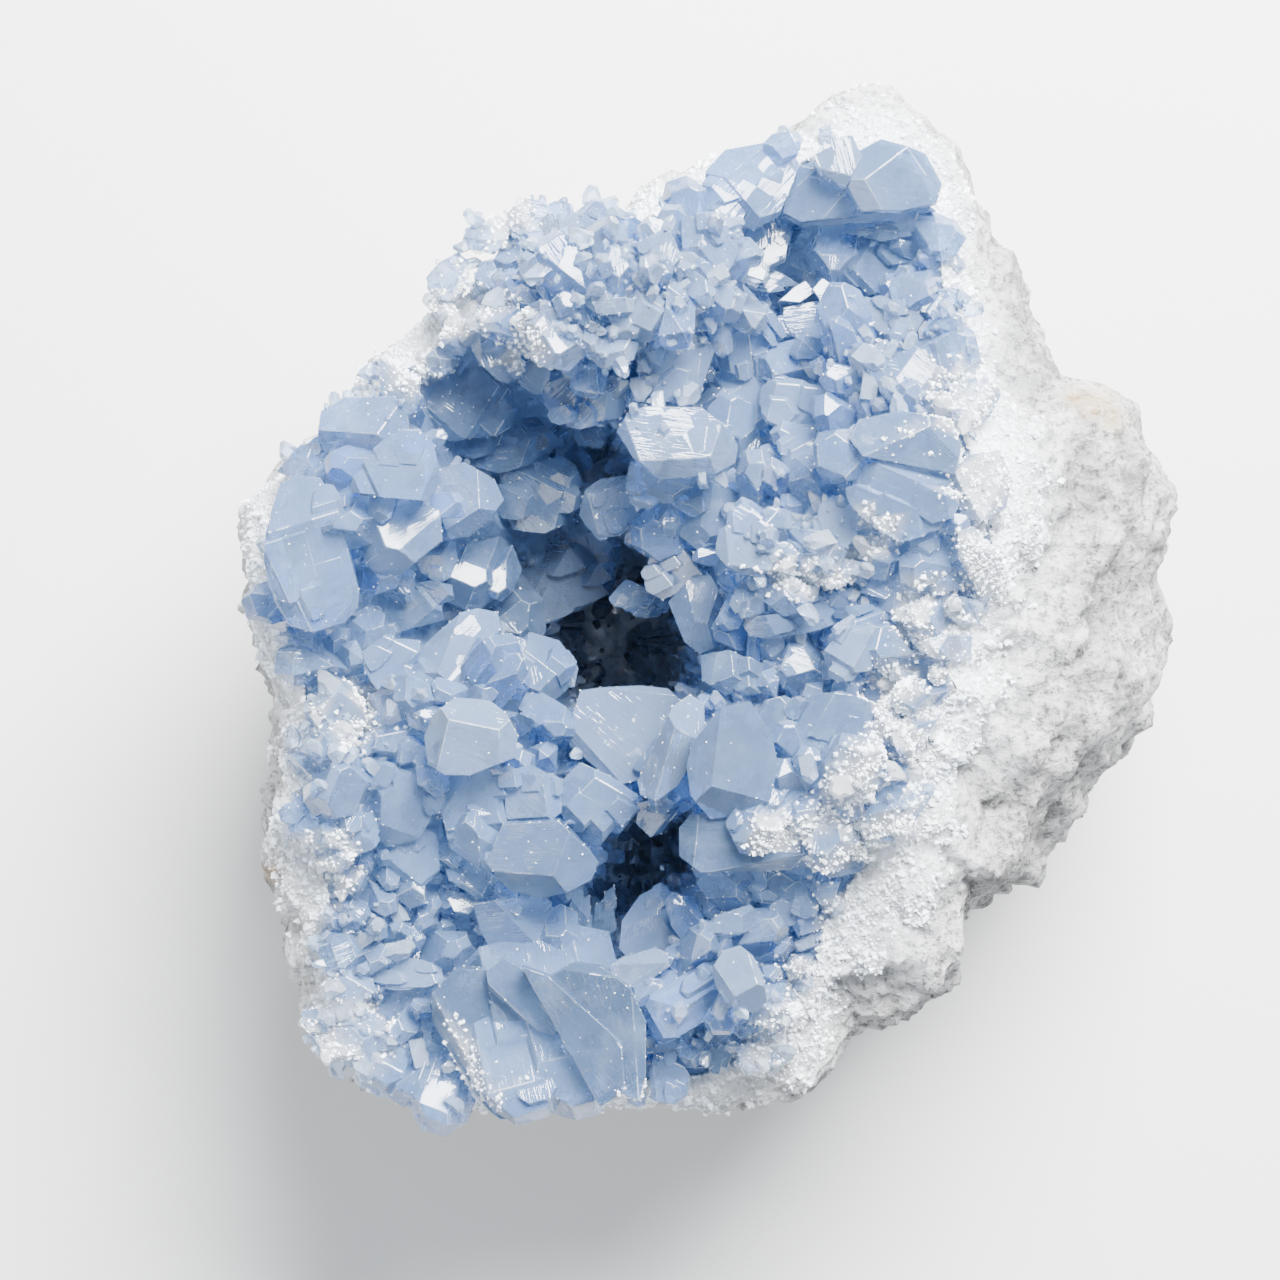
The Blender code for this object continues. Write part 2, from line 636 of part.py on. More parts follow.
def build_crystals(scene):
    """The bed and every crystal fused in one body, trimmed where it meets the rock."""
    celestite = finish("celestite", (0.55, 0.70, 0.86), 0.18, 0.5)
    grown = bpy.data.collections.new("grown_crystals")
    trimming = bpy.data.collections.new("trimming")
    body = add_object("celestite_crystals", bed_skin("bed"), scene, celestite)
    taken = []
    for name, turn, sizes, chance in named_crystals():
        made = add_object(name, crystal_mesh(name, *sizes, chance), grown)
        made.matrix_world = turn
        taken.append(turn.translation.xy / MM)
    for name, turn, sizes, chance in filler_crystals(taken):
        made = add_object(name, crystal_mesh(name, *sizes, chance), grown)
        made.matrix_world = turn
    swollen_rock = swollen(rind_skin("swollen_rock"), CONTACT_GAP)
    add_object("swollen_rock", swollen_rock, trimming)
    for helpers in (grown, trimming):
        scene.children.link(helpers)
        helpers.hide_render = True
    boolean(body, "UNION", grown)
    boolean(body, "DIFFERENCE", trimming)
    apply_modifiers(body)
    for helpers in (grown, trimming):
        for helper in helpers.objects[:]:
            bpy.data.objects.remove(helper)
        bpy.data.collections.remove(helpers)
    main_body_only(body.data)
    thin_out(body)
    return body


def main():
    for old in bpy.data.objects[:]:
        bpy.data.objects.remove(old)
    scene = bpy.context.scene.collection
    build_rock(scene)
    build_crystals(scene)


main()
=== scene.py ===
"""Celestite geode, dressed: broken limestone, blue crystals, their druse and the rim's sugar.

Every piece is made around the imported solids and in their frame: metres, +Z up, the origin on
the floor under the middle of the lump. Tables are in millimetres, and MM makes them metres.
"""

import json
import math
import random
from functools import partial

import bmesh
import bpy
from bpy.props import FloatProperty, FloatVectorProperty, IntProperty, PointerProperty
from mathutils import Matrix, Vector, noise

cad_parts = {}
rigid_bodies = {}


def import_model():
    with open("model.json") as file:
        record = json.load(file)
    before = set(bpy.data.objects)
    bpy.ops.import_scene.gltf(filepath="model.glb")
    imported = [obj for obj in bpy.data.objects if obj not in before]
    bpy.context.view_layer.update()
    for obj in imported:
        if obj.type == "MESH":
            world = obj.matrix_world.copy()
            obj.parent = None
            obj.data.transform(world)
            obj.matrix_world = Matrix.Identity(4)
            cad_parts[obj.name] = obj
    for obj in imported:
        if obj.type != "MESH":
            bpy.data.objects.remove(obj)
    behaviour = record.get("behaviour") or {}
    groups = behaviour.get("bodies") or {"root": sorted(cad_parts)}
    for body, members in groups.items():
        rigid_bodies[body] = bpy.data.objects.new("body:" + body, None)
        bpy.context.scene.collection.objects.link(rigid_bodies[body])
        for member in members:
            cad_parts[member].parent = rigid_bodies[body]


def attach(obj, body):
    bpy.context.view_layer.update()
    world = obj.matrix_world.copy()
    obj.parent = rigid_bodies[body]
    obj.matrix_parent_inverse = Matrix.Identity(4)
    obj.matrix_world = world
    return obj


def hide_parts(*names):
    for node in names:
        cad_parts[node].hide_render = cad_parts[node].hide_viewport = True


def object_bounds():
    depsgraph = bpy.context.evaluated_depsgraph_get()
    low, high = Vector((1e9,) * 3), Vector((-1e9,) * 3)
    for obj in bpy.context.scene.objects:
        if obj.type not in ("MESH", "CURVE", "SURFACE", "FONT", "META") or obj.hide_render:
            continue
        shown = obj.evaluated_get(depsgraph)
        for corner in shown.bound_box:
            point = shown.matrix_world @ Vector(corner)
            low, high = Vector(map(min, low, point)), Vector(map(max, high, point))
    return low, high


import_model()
CAD_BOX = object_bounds()

bl_info = {
    "name": "Celestite geode",
    "version": (1, 0, 0),
    "blender": (4, 5, 0),
    "location": "3D View > Sidebar > Geode",
    "description": "Builds a celestite geode: rock, crystals, druse, sugar and a stage",
    "category": "Object",
}

MM = 0.001

# Where the photograph sees the lump from: straight above, in its own 1280 pixel frame
PICTURE_PX = 1280
PICTURE_CENTRE_PX = 640
FOCAL_PX = 3900
EYE_HEIGHT = 560
HOLLOW_AXIS = Vector((-9, -4.8))

# The outline of the lump at its widest, as azimuth in degrees and radius from the hollow's axis
WIDEST_RADIUS = (
    (0, 69), (7, 68.5), (15, 72.5), (24, 71.5), (32, 65.5), (42, 69.5), (48, 72), (57, 77.5),
    (62, 79), (66, 80.5), (70, 78), (77, 66), (84, 60.5), (90, 57.5), (98, 55), (108, 52.5),
    (123, 50.5), (130, 49.5), (141, 50), (150, 50.5), (160, 53.5), (168, 51.5), (176, 50.5),
    (184, 49), (192, 48.5), (201, 53), (210, 58), (220, 62), (230, 67.5), (237, 69),
    (245, 68), (252, 65), (260, 62.5), (270, 62), (280, 64.5), (290, 63.5), (298, 60),
    (305, 61), (314, 59.5), (320, 57), (328, 61), (337, 61.5), (345, 64), (353, 67.5),
)
WIDEST_HEIGHT = (
    (0, 34), (45, 36), (90, 42), (135, 47), (180, 49), (225, 46), (270, 44), (315, 37),
)
# The shoulder where the rounded rind turns into the broken top: its inset and its height
SHOULDER_INSET = (
    (0, 19), (8, 18), (18, 13), (27, 8), (45, 8), (60, 6), (75, 2.5), (95, 2), (180, 2),
    (270, 2), (300, 2.5), (318, 5), (330, 11), (340, 15), (352, 19),
)
SHOULDER_HEIGHT = (
    (0, 61), (27, 59), (60, 54), (90, 55), (135, 56), (180, 57), (225, 52), (270, 52),
    (300, 56), (330, 61),
)
# The lip where rock gives way to crystals
LIP_RADIUS = (
    (0, 40), (7, 43), (15, 45.5), (24, 48), (32, 49), (38, 51), (48, 58), (57, 68),
    (65, 71), (72, 65), (80, 57.5), (90, 54.5), (100, 52), (110, 49.5), (120, 48), (140, 47),
    (158, 48.5), (175, 46), (190, 43.5), (202, 46.5), (215, 50), (228, 57), (240, 62),
    (250, 61), (262, 58), (275, 57.5), (285, 55), (295, 48), (308, 43), (320, 40),
    (335, 39), (348, 38.5),
)
LIP_HEIGHT = (
    (0, 68), (30, 66), (60, 58), (90, 58), (120, 58), (150, 60), (180, 60), (210, 58),
    (240, 54), (270, 55), (300, 62), (330, 67),
)
LIP_BREAKS = 2.5
RIM_LEAST = 1.5
LIP_CALM = 11
# Lumps and ledges on the rock's broken side, as a place in the picture, radius and push
RELIEF = (
    (1100, 400, 9, 2.2), (1030, 310, 6, -2), (965, 655, 8, -4.5), (1045, 620, 8, 2.5),
    (968, 780, 7, -3), (1095, 700, 9, 2), (1000, 850, 7, -2), (1130, 530, 8, 2),
    (1085, 480, 7, -2.4), (905, 950, 8, 2.5), (990, 450, 8, 2), (1040, 740, 6, -2.5),
    (985, 200, 6, -1.5), (860, 1010, 7, -2), (1010, 560, 6, -2),
)
REST_RADII = (27, 24)
REST_CENTRE = Vector((0, -2))

# The crystal bed: how far it dips under the lip, its least height and its thickness
BED_DIP = 9
HOLLOW_FLOOR = 12
BED_EDGE = 2
PIT_FLOOR = 6
PIT_SPREAD = 1.9
BED_THICKNESS = 14
BED_BITE = 2
# Swellings of the bed, and below them its pits: a place in the picture, radius and rise
SWELLINGS = (
    (572, 292, 17, 19), (690, 262, 12, 12), (405, 492, 10, 13), (318, 560, 8, 7),
    (682, 462, 8, 13), (760, 545, 12, 11), (850, 400, 14, 8), (905, 480, 12, 7),
    (700, 745, 11, 12), (535, 830, 13, 12), (465, 715, 10, 8), (570, 1030, 14, 12),
    (705, 955, 10, 9), (800, 790, 12, 9), (845, 165, 12, 7), (345, 800, 9, 5),
    (420, 1030, 9, 6), (770, 1010, 8, 4),
)
PITS = (
    (628, 634, 10, 38), (655, 858, 6, 28), (602, 462, 4, 22), (505, 430, 9, 8),
    (470, 600, 7, 8), (815, 255, 8, 8), (598, 915, 6, 12), (560, 560, 8, 10),
)
PIT_MOUTH = 1.35

# The named crystals: middle in the picture, the way each points (azimuth in the picture,
# tilt from the eye), length, width, thickness and lift above the bed
CRYSTALS = {
    "mound": (
        (568, 246, 90, 38, 10, 6, 5, 1), (606, 252, 80, 38, 10, 6.5, 5, 1),
        (533, 240, 100, 38, 10, 6.5, 5, 1), (492, 246, 130, 35, 9, 7, 5.5, 0),
        (462, 282, 160, 40, 9, 7, 5, 0), (457, 318, 190, 45, 9, 6.5, 5, 0),
        (464, 345, 215, 55, 10, 7, 5, 0), (502, 362, 285, 58, 11, 7.5, 5, 1),
        (535, 378, 270, 58, 9, 6, 4, 1), (590, 388, 255, 55, 14, 12, 8, 0),
        (672, 358, 285, 55, 13, 9.5, 7, 1), (708, 246, 20, 45, 12, 9, 7, 1),
        (717, 300, 350, 45, 9, 7, 5, 1), (745, 338, 330, 40, 12, 9, 7, 1),
        (648, 238, 60, 35, 10, 8, 6, 0), (560, 340, 265, 35, 10, 8, 6, 0),
        (610, 340, 290, 30, 10, 7.5, 6, 0), (640, 312, 320, 25, 10, 8, 6, 0),
    ),
    "recess": (
        (452, 398, 200, 50, 17, 12, 8, 0), (490, 425, 300, 40, 12, 9, 7, 0),
        (540, 488, 320, 55, 15, 11, 6, 1), (548, 572, 300, 58, 19, 15, 10, 2),
        (470, 570, 250, 40, 12, 10, 7, 0), (555, 440, 330, 45, 9, 7, 5, 0),
        (445, 618, 20, 50, 9, 7, 6, 0), (508, 610, 310, 45, 11, 9, 7, 0),
    ),
    "left": (
        (396, 532, 262, 58, 15, 9.5, 7.5, 3), (438, 562, 275, 62, 9, 5, 4, 2),
        (400, 462, 80, 40, 13, 11, 9, 2), (472, 500, 350, 60, 14, 9, 6, 2),
        (350, 490, 200, 50, 10, 5.5, 5, 1), (372, 422, 130, 40, 13, 11, 8, 1),
        (318, 470, 150, 45, 10, 7, 6, 0), (312, 560, 268, 66, 20, 9.5, 9, 2),
        (385, 605, 240, 50, 9, 7, 6, 0), (275, 600, 200, 50, 9, 7, 6, 0),
    ),
    "middle": (
        (462, 655, 55, 70, 14, 7.5, 6, 2), (540, 668, 10, 62, 13, 9, 6, 1),
        (380, 655, 180, 58, 12, 7, 6, 1), (335, 712, 250, 40, 10, 8.5, 7, 1),
        (470, 737, 100, 35, 13, 12, 10, 1), (395, 735, 220, 50, 9, 7, 6, 0),
        (545, 718, 330, 55, 9, 6, 5, 0), (310, 665, 170, 45, 9, 7, 6, 0),
        (632, 738, 172, 72, 20, 14.5, 8, 4), (662, 775, 265, 62, 9, 6, 4, 4),
        (697, 712, 60, 50, 9, 5, 4, 2), (752, 776, 245, 60, 20, 17, 9, 1),
        (765, 705, 200, 52, 17, 12, 9, 0), (825, 735, 340, 45, 12, 10, 8, 0),
        (652, 817, 250, 50, 8, 5.5, 5, 1),
    ),
    "bridge": (
        (678, 455, 240, 68, 17, 13.5, 9, 3), (611, 503, 215, 58, 11, 7.5, 7, 1),
        (592, 547, 225, 60, 9, 6, 5.5, 1), (655, 585, 235, 60, 13, 9, 6.5, 2),
        (700, 615, 268, 58, 13, 8, 6.5, 2), (748, 547, 215, 48, 11, 9, 7, 1),
        (815, 545, 330, 45, 9, 7.5, 6, 1), (825, 500, 20, 40, 9, 6.5, 5, 1),
        (806, 455, 60, 42, 9, 6.5, 5.5, 1), (700, 515, 290, 45, 10, 9, 7, 0),
        (800, 603, 190, 70, 17, 7.5, 6, 1), (860, 648, 200, 62, 12, 7, 6, 2),
        (753, 655, 85, 68, 9, 2.2, 2, 2), (758, 480, 100, 40, 9, 7, 5, 0),
        (745, 390, 300, 48, 12, 9, 7, 0), (795, 400, 250, 42, 11, 9, 7, 0),
    ),
    "far_right": (
        (795, 300, 120, 42, 11, 8, 6, 1), (828, 298, 60, 42, 11, 8, 7, 1),
        (880, 322, 30, 42, 10, 8, 6, 1), (850, 360, 200, 38, 12, 9, 7, 0),
        (905, 372, 330, 42, 12, 10, 7, 0), (945, 358, 10, 45, 11, 9, 6, 0),
        (965, 398, 340, 52, 9, 8, 5, 0), (905, 430, 200, 66, 20, 13, 9, 1),
        (892, 507, 210, 70, 20, 15, 9, 1), (985, 498, 45, 30, 8, 6.5, 5, 1),
        (1030, 546, 30, 25, 7, 6, 4.5, 1),
    ),
    "peak": (
        (868, 180, 350, 66, 23, 13, 10, 1), (820, 163, 150, 45, 14, 10, 7, 0),
        (752, 208, 250, 55, 14, 11, 8, 1), (785, 245, 290, 45, 12, 9, 7, 0),
        (838, 245, 260, 52, 12, 9, 6, 0), (882, 270, 220, 48, 12, 9, 6, 0),
        (930, 235, 330, 40, 9, 7, 5, 0), (690, 215, 110, 50, 10, 7, 6, 0),
        (880, 120, 70, 45, 9, 7, 5, 0),
    ),
    "near_left": (
        (312, 800, 160, 52, 12, 9, 7, 0), (352, 848, 240, 52, 12, 9, 6, 1),
        (430, 790, 190, 52, 17, 13, 9, 1), (535, 838, 240, 60, 22, 18, 10, 2),
        (592, 812, 20, 50, 12, 10, 8, 1), (416, 872, 270, 42, 9, 7, 6, 0),
        (515, 932, 70, 45, 12, 10, 7, 1), (460, 905, 150, 40, 8, 5, 4, 0),
        (405, 968, 120, 48, 10, 8, 5, 0), (350, 945, 200, 40, 10, 8, 6, 0),
        (345, 1015, 230, 48, 10, 8, 6, 0), (452, 1003, 230, 52, 14, 9, 7, 0),
        (560, 1030, 285, 60, 25, 18, 11, 2), (620, 1022, 300, 60, 20, 12, 8, 1),
        (448, 1072, 250, 60, 16, 9, 7, 0), (502, 1072, 270, 64, 14, 8, 6, 0),
        (390, 1062, 240, 48, 10, 8, 6, 0),
    ),
    "near_right": (
        (650, 922, 110, 52, 12, 8.5, 7, 1), (703, 905, 80, 42, 9, 7, 6, 0),
        (600, 905, 90, 48, 14, 9, 7, 0), (640, 967, 15, 72, 9, 3.8, 3.4, 2),
        (658, 1002, 200, 58, 9, 5.5, 4.5, 1), (740, 978, 120, 30, 10, 8.5, 6, 1),
        (795, 910, 30, 40, 9, 7.5, 6, 0), (722, 1035, 270, 58, 12, 5.5, 5, 1),
        (760, 1052, 300, 45, 9, 7, 6, 0), (668, 1072, 270, 58, 10, 6, 5, 0),
        (737, 846, 190, 62, 17, 12, 7, 0), (792, 866, 20, 45, 9, 7, 6, 0),
        (700, 950, 60, 40, 9, 6, 5, 0), (760, 930, 40, 35, 9, 7, 5, 0),
    ),
}
# The crystals that the picture shows best, by their own outlines. Each row is its lift above
# the bed, its depth of blue, its outline in the picture, and then the faces that cut its top,
# each as azimuth, tilt, a point in the picture and its height above the outline. Where a row
# has none, faces are made up. A face turned like GLINT mirrors the main light.
GLINT = (67, 21)
PORTRAITS = {
    "mound": (
        (3, 0.05, ((461, 243), (466, 230), (482, 220), (500, 213), (508, 225), (505, 245),
         (490, 253), (470, 250))),
        (4, 0, ((508, 212), (520, 203), (532, 198), (547, 205), (552, 220), (540, 232), (520, 235),
         (508, 228))),
        (3, 0.2, ((549, 205), (562, 200), (572, 205), (576, 218), (568, 238), (556, 240),
         (550, 225))),
        (4, 0.15, ((576, 212), (592, 200), (603, 203), (617, 225), (612, 240), (590, 248),
         (578, 235))),
        (2, 0.1, ((426, 278), (440, 262), (458, 252), (470, 262), (468, 285), (450, 300),
         (432, 298))),
        (2, 0.1, ((428, 300), (445, 300), (458, 312), (450, 325), (437, 318))),
        (3, 0.2, ((437, 342), (455, 315), (475, 325), (480, 345), (462, 355), (450, 355))),
        (4, 0.1, ((470, 345), (490, 325), (515, 330), (520, 345), (518, 372), (508, 384),
         (497, 380), (480, 365))),
        (3, 0.15, ((515, 355), (535, 350), (552, 365), (548, 392), (535, 395), (520, 385))),
        (3, 0.5, ((542, 400), (552, 385), (590, 372), (632, 362), (638, 395), (620, 418),
         (580, 427), (555, 420))),
        (4, 0, ((596, 310), (610, 298), (635, 298), (633, 312), (600, 316))),
        (4, 0, ((513, 320), (526, 308), (541, 310), (545, 330), (525, 340))),
        (4, 0.1, ((636, 370), (642, 345), (660, 330), (700, 330), (715, 350), (702, 388),
         (672, 400), (645, 395))),
        (3, 0.15, ((572, 258), (590, 250), (612, 262), (602, 280), (580, 282))),
        (3, 0.1, ((638, 243), (668, 226), (682, 258), (662, 280), (640, 272))),
        (3, 0.2, ((680, 218), (715, 214), (735, 235), (740, 250), (728, 275), (700, 280),
         (683, 262))),
        (3, 0.1, ((652, 288), (680, 282), (690, 300), (672, 316), (652, 306))),
        (2, 0.15, ((540, 300), (562, 305), (572, 335), (560, 345), (540, 335))),
        (2, 0.1, ((480, 262), (500, 258), (508, 280), (490, 290), (474, 280))),
        (2, 0.15, ((480, 310), (500, 305), (510, 325), (495, 335), (478, 328))),
    ),
    "peak": (
        (4, 0.5, ((858, 152), (880, 140), (925, 155), (942, 185), (936, 205), (900, 214),
         (860, 214), (846, 190)), (330, 14, 895, 180, 3.4), (230, 34, 865, 200, 3),
         (20, 40, 930, 180, 2.4), (120, 36, 890, 150, 3)),
        (6, 0.05, ((812, 160), (825, 140), (852, 136), (862, 158), (845, 190), (822, 176)),
         (110, 8, 840, 160, 2), (250, 36, 838, 180, 1.6), (20, 40, 858, 155, 1.4)),
        (4, 0.4, ((782, 214), (795, 165), (822, 174), (846, 190), (860, 218), (800, 224)),
         (215, 14, 815, 200, 2.6), (150, 40, 798, 185, 2.4), (300, 36, 845, 212, 2)),
        (4, 0.15, ((784, 218), (800, 206), (860, 207), (925, 203), (936, 212), (880, 224),
         (800, 227)), (270, 20, 860, 214, 1.2), (90, 30, 860, 208, 1.2)),
        (3, 0.25, ((705, 172), (725, 150), (790, 140), (800, 165), (785, 205), (762, 214),
         (742, 230), (720, 222), (704, 195))),
        (3, 0.85, ((737, 262), (745, 235), (765, 205), (790, 232), (785, 262), (760, 278))),
        (3, 0.9, ((785, 262), (795, 230), (830, 228), (850, 245), (840, 268), (810, 275))),
        (3, 0.6, ((845, 258), (862, 242), (900, 240), (912, 262), (900, 290), (868, 296),
         (850, 278))),
        (2, 0.8, ((850, 232), (880, 224), (925, 220), (915, 236), (880, 242))),
        (4, 0.6, ((740, 285), (752, 264), (780, 272), (800, 284), (770, 291))),
        (9, 0.05, ((778, 302), (795, 286), (806, 280), (815, 292), (800, 304)),
         (*GLINT, 796, 292, 0.9)),
        (9, 0, ((811, 290), (822, 277), (834, 285), (836, 295), (820, 302)),
         (*GLINT, 822, 289, 0.9)),
        (2, 0.3, ((783, 308), (825, 300), (850, 320), (842, 345), (800, 347), (782, 326))),
        (3, 0.05, ((858, 304), (880, 297), (902, 304), (926, 318), (915, 335), (890, 339),
         (866, 326))),
        (2, 0.2, ((846, 350), (862, 345), (896, 355), (901, 372), (872, 386), (851, 370))),
        (3, 0.35, ((712, 352), (722, 315), (745, 309), (776, 340), (770, 365), (745, 378),
         (722, 370))),
        (3, 0.25, ((722, 282), (742, 282), (776, 322), (782, 340), (770, 343), (748, 310))),
        (2, 0.15, ((760, 388), (775, 376), (802, 380), (832, 396), (836, 424), (800, 433),
         (770, 420), (759, 405))),
        (1, 0.3, ((918, 300), (955, 290), (966, 310), (960, 332), (938, 330))),
        (1, 0.05, ((840, 118), (858, 102), (888, 104), (905, 122), (890, 138), (850, 136))),
    ),
    "left": (
        (2, 0.35, ((318, 442), (322, 412), (345, 398), (396, 397), (409, 412), (411, 440),
         (390, 453), (330, 453)), (100, 24, 348, 418, 3.4), (350, 38, 390, 425, 3.6),
         (260, 50, 360, 445, 2.6)),
        (3, 0.3, ((356, 485), (364, 462), (385, 445), (400, 430), (420, 429), (435, 445),
         (442, 480), (430, 502), (395, 500), (360, 496))),
        (5, 0.2, ((361, 540), (365, 520), (385, 500), (412, 497), (440, 510), (443, 540),
         (425, 556), (400, 576), (388, 580), (371, 573), (362, 556)), (*GLINT, 394, 530, 2.6),
         (335, 42, 425, 535, 1.6), (262, 58, 390, 560, 1.2), (190, 50, 372, 545, 1.4)),
        (4, 0.15, ((419, 560), (432, 536), (455, 540), (458, 560), (450, 578), (438, 585),
         (428, 578), (419, 570))),
        (3, 0.25, ((438, 470), (465, 462), (495, 480), (504, 500), (491, 519), (470, 536),
         (450, 540), (439, 512)), (130, 16, 475, 490, 2.4), (20, 40, 485, 500, 2.2),
         (300, 52, 470, 520, 2.2)),
        (6, 0, ((478, 486), (486, 480), (496, 488), (490, 497), (481, 495)),
         (*GLINT, 487, 489, 0.6)),
        (3, 0.4, ((280, 482), (298, 474), (320, 478), (338, 500), (348, 540), (360, 592),
         (358, 608), (345, 623), (315, 633), (290, 626), (275, 602), (269, 560), (272, 512))),
        (1, 0.6, ((275, 472), (300, 445), (322, 440), (332, 470), (300, 480))),
        (1, 0.3, ((330, 455), (358, 455), (362, 480), (352, 516), (335, 518), (325, 492))),
        (0, 0.75, ((355, 590), (400, 582), (440, 590), (445, 620), (400, 632), (362, 625))),
    ),
    # The deep blue of these recess crystals is partly painted shade
    "recess": (
        (1, 0.75, ((415, 370), (440, 360), (480, 366), (505, 392), (500, 420), (470, 440),
         (430, 442), (412, 410))),
        (1, 0.8, ((440, 440), (480, 425), (540, 420), (560, 440), (545, 462), (500, 475),
         (455, 462))),
        (4, 0.75, ((500, 465), (548, 455), (570, 470), (583, 500), (570, 522), (545, 534),
         (512, 530), (500, 505))),
        (9, 0.75, ((498, 562), (530, 545), (575, 542), (605, 555), (618, 572), (612, 592),
         (580, 611), (540, 620), (508, 614))),
        (0, 0.8, ((430, 590), (470, 575), (500, 585), (505, 605), (470, 612), (440, 610))),
        (7, 0.6, ((570, 425), (600, 418), (612, 432), (600, 448), (578, 446))),
    ),
    "bridge": (
        (5, 0.1, ((616, 432), (627, 414), (645, 407), (702, 408), (725, 427), (739, 446),
         (736, 463), (715, 476), (660, 481), (633, 459)), (100, 12, 670, 440, 3),
         (350, 50, 724, 450, 1.8), (270, 35, 680, 470, 2.6), (190, 50, 625, 430, 2)),
        (4, 0.1, ((627, 478), (630, 462), (700, 460), (712, 474), (688, 488), (672, 504),
         (642, 503), (627, 492))),
        (3, 0.05, ((578, 515), (585, 490), (600, 478), (628, 474), (641, 490), (638, 520),
         (620, 536), (600, 539), (585, 526))),
        (5, 0.3, ((566, 537), (580, 518), (602, 535), (622, 541), (621, 560), (605, 578),
         (585, 570), (571, 560))),
        (27, 0.1, ((640, 572), (655, 552), (690, 545), (712, 560), (706, 582), (680, 594),
         (662, 602), (645, 592))),
        (30, 0.2, ((611, 592), (625, 578), (650, 588), (673, 600), (668, 612), (645, 615),
         (625, 612), (615, 602))),
        (18, 0.15, ((668, 602), (690, 578), (710, 574), (722, 595), (731, 625), (722, 645),
         (700, 654), (684, 642), (675, 620)), (260, 30, 700, 640, 1.6), (350, 50, 718, 610, 1.6),
         (185, 48, 684, 605, 1.6), (80, 10, 700, 600, 2.4)),
        (4, 0.1, ((715, 553), (718, 530), (745, 516), (768, 530), (781, 546), (778, 566),
         (760, 577), (742, 575), (725, 566))),
        (2, 0.35, ((676, 505), (690, 488), (715, 483), (742, 490), (744, 520), (727, 542),
         (700, 552), (680, 536))),
        (3, 0.2, ((778, 442), (800, 427), (825, 434), (833, 450), (831, 470), (810, 480),
         (790, 479), (782, 462))),
        (4, 0, ((818, 505), (832, 494), (850, 500), (861, 515), (858, 536), (845, 549), (825, 550),
         (816, 528))),
        (3, 0.05, ((758, 515), (768, 506), (790, 510), (793, 528), (780, 534), (762, 526))),
        (3, 0.1, ((800, 572), (830, 558), (862, 563), (868, 575), (838, 586), (808, 583))),
        (5, 0.1, ((822, 652), (838, 632), (870, 621), (880, 632), (883, 655), (870, 671),
         (842, 674), (825, 664))),
        (1, 0.5, ((738, 622), (760, 602), (800, 596), (870, 592), (872, 610), (820, 630),
         (770, 640), (748, 636))),
        (2, 0.3, ((735, 588), (752, 576), (770, 590), (768, 612), (742, 618), (732, 604))),
        (1, 0.5, ((738, 430), (756, 420), (762, 445), (755, 470), (740, 472), (738, 452))),
        (1, 0.5, ((738, 400), (752, 385), (762, 398), (760, 418), (742, 420))),
    ),
    "far_right": (
        (2, 0.65, ((848, 440), (858, 420), (900, 411), (950, 420), (962, 445), (955, 475),
         (905, 462), (860, 458)), (110, 25, 905, 430, 3), (300, 20, 900, 450, 3),
         (20, 40, 950, 450, 2)),
        (2, 0.4, ((850, 470), (880, 460), (930, 468), (952, 480), (956, 505), (940, 530),
         (900, 540), (868, 520), (855, 500))),
        (2, 0.05, ((955, 470), (968, 455), (1000, 450), (1012, 478), (1006, 508), (985, 522),
         (962, 520), (955, 492)), (80, 10, 985, 490, 1.6), (350, 35, 1002, 490, 1.2),
         (200, 40, 962, 500, 1.2)),
        (1, 0.25, ((1008, 548), (1025, 530), (1042, 545), (1038, 562), (1015, 564))),
        (1, 0.15, ((905, 372), (925, 362), (950, 372), (945, 395), (918, 398))),
        (1, 0.35, ((850, 560), (900, 552), (912, 575), (885, 600), (855, 592))),
        (0, 0.3, ((880, 590), (930, 580), (960, 592), (945, 612), (900, 618), (878, 608))),
    ),
    "middle": (
        (4, 0.15, ((420, 650), (437, 633), (462, 612), (478, 608), (498, 612), (502, 627),
         (500, 645), (480, 670), (455, 692), (440, 703), (425, 700), (419, 680)),
         (50, 12, 470, 640, 2.6), (330, 45, 480, 668, 1.6), (145, 40, 440, 640, 2),
         (230, 45, 430, 690, 1.4)),
        (4, 0.05, ((424, 737), (432, 715), (455, 697), (490, 700), (508, 714), (518, 735),
         (515, 758), (470, 776), (445, 775), (428, 765)), (270, 14, 470, 740, 3),
         (75, 40, 475, 712, 2.2), (180, 45, 435, 735, 1.8), (350, 50, 508, 740, 1.8)),
        (2, 0, ((303, 702), (320, 688), (345, 685), (362, 700), (366, 718), (360, 735), (340, 744),
         (320, 738), (307, 722))),
        (2, 0.45, ((360, 652), (375, 637), (420, 640), (419, 660), (400, 680), (378, 690),
         (365, 672))),
        (1, 0.55, ((368, 695), (400, 680), (420, 690), (415, 715), (385, 728), (370, 715))),
        (4, 0.35, ((508, 650), (530, 632), (560, 640), (575, 662), (568, 690), (545, 710),
         (515, 700), (503, 675))),
        (20, 0.3, ((555, 655), (568, 652), (579, 668), (575, 688), (560, 690), (552, 672))),
        (8, 0.1, ((566, 735), (580, 690), (600, 687), (640, 685), (668, 688), (682, 700),
         (684, 735), (680, 748), (640, 764), (638, 780), (618, 785), (600, 770), (570, 746)),
         (95, 7, 625, 725, 3.4), (215, 38, 590, 760, 3), (175, 48, 572, 715, 3),
         (85, 50, 620, 692, 3.2)),
        (6, 0.1, ((672, 706), (690, 694), (704, 704), (706, 740), (692, 762), (678, 786),
         (657, 801), (640, 796), (637, 782), (652, 758)), (40, 42, 695, 720, 2.2),
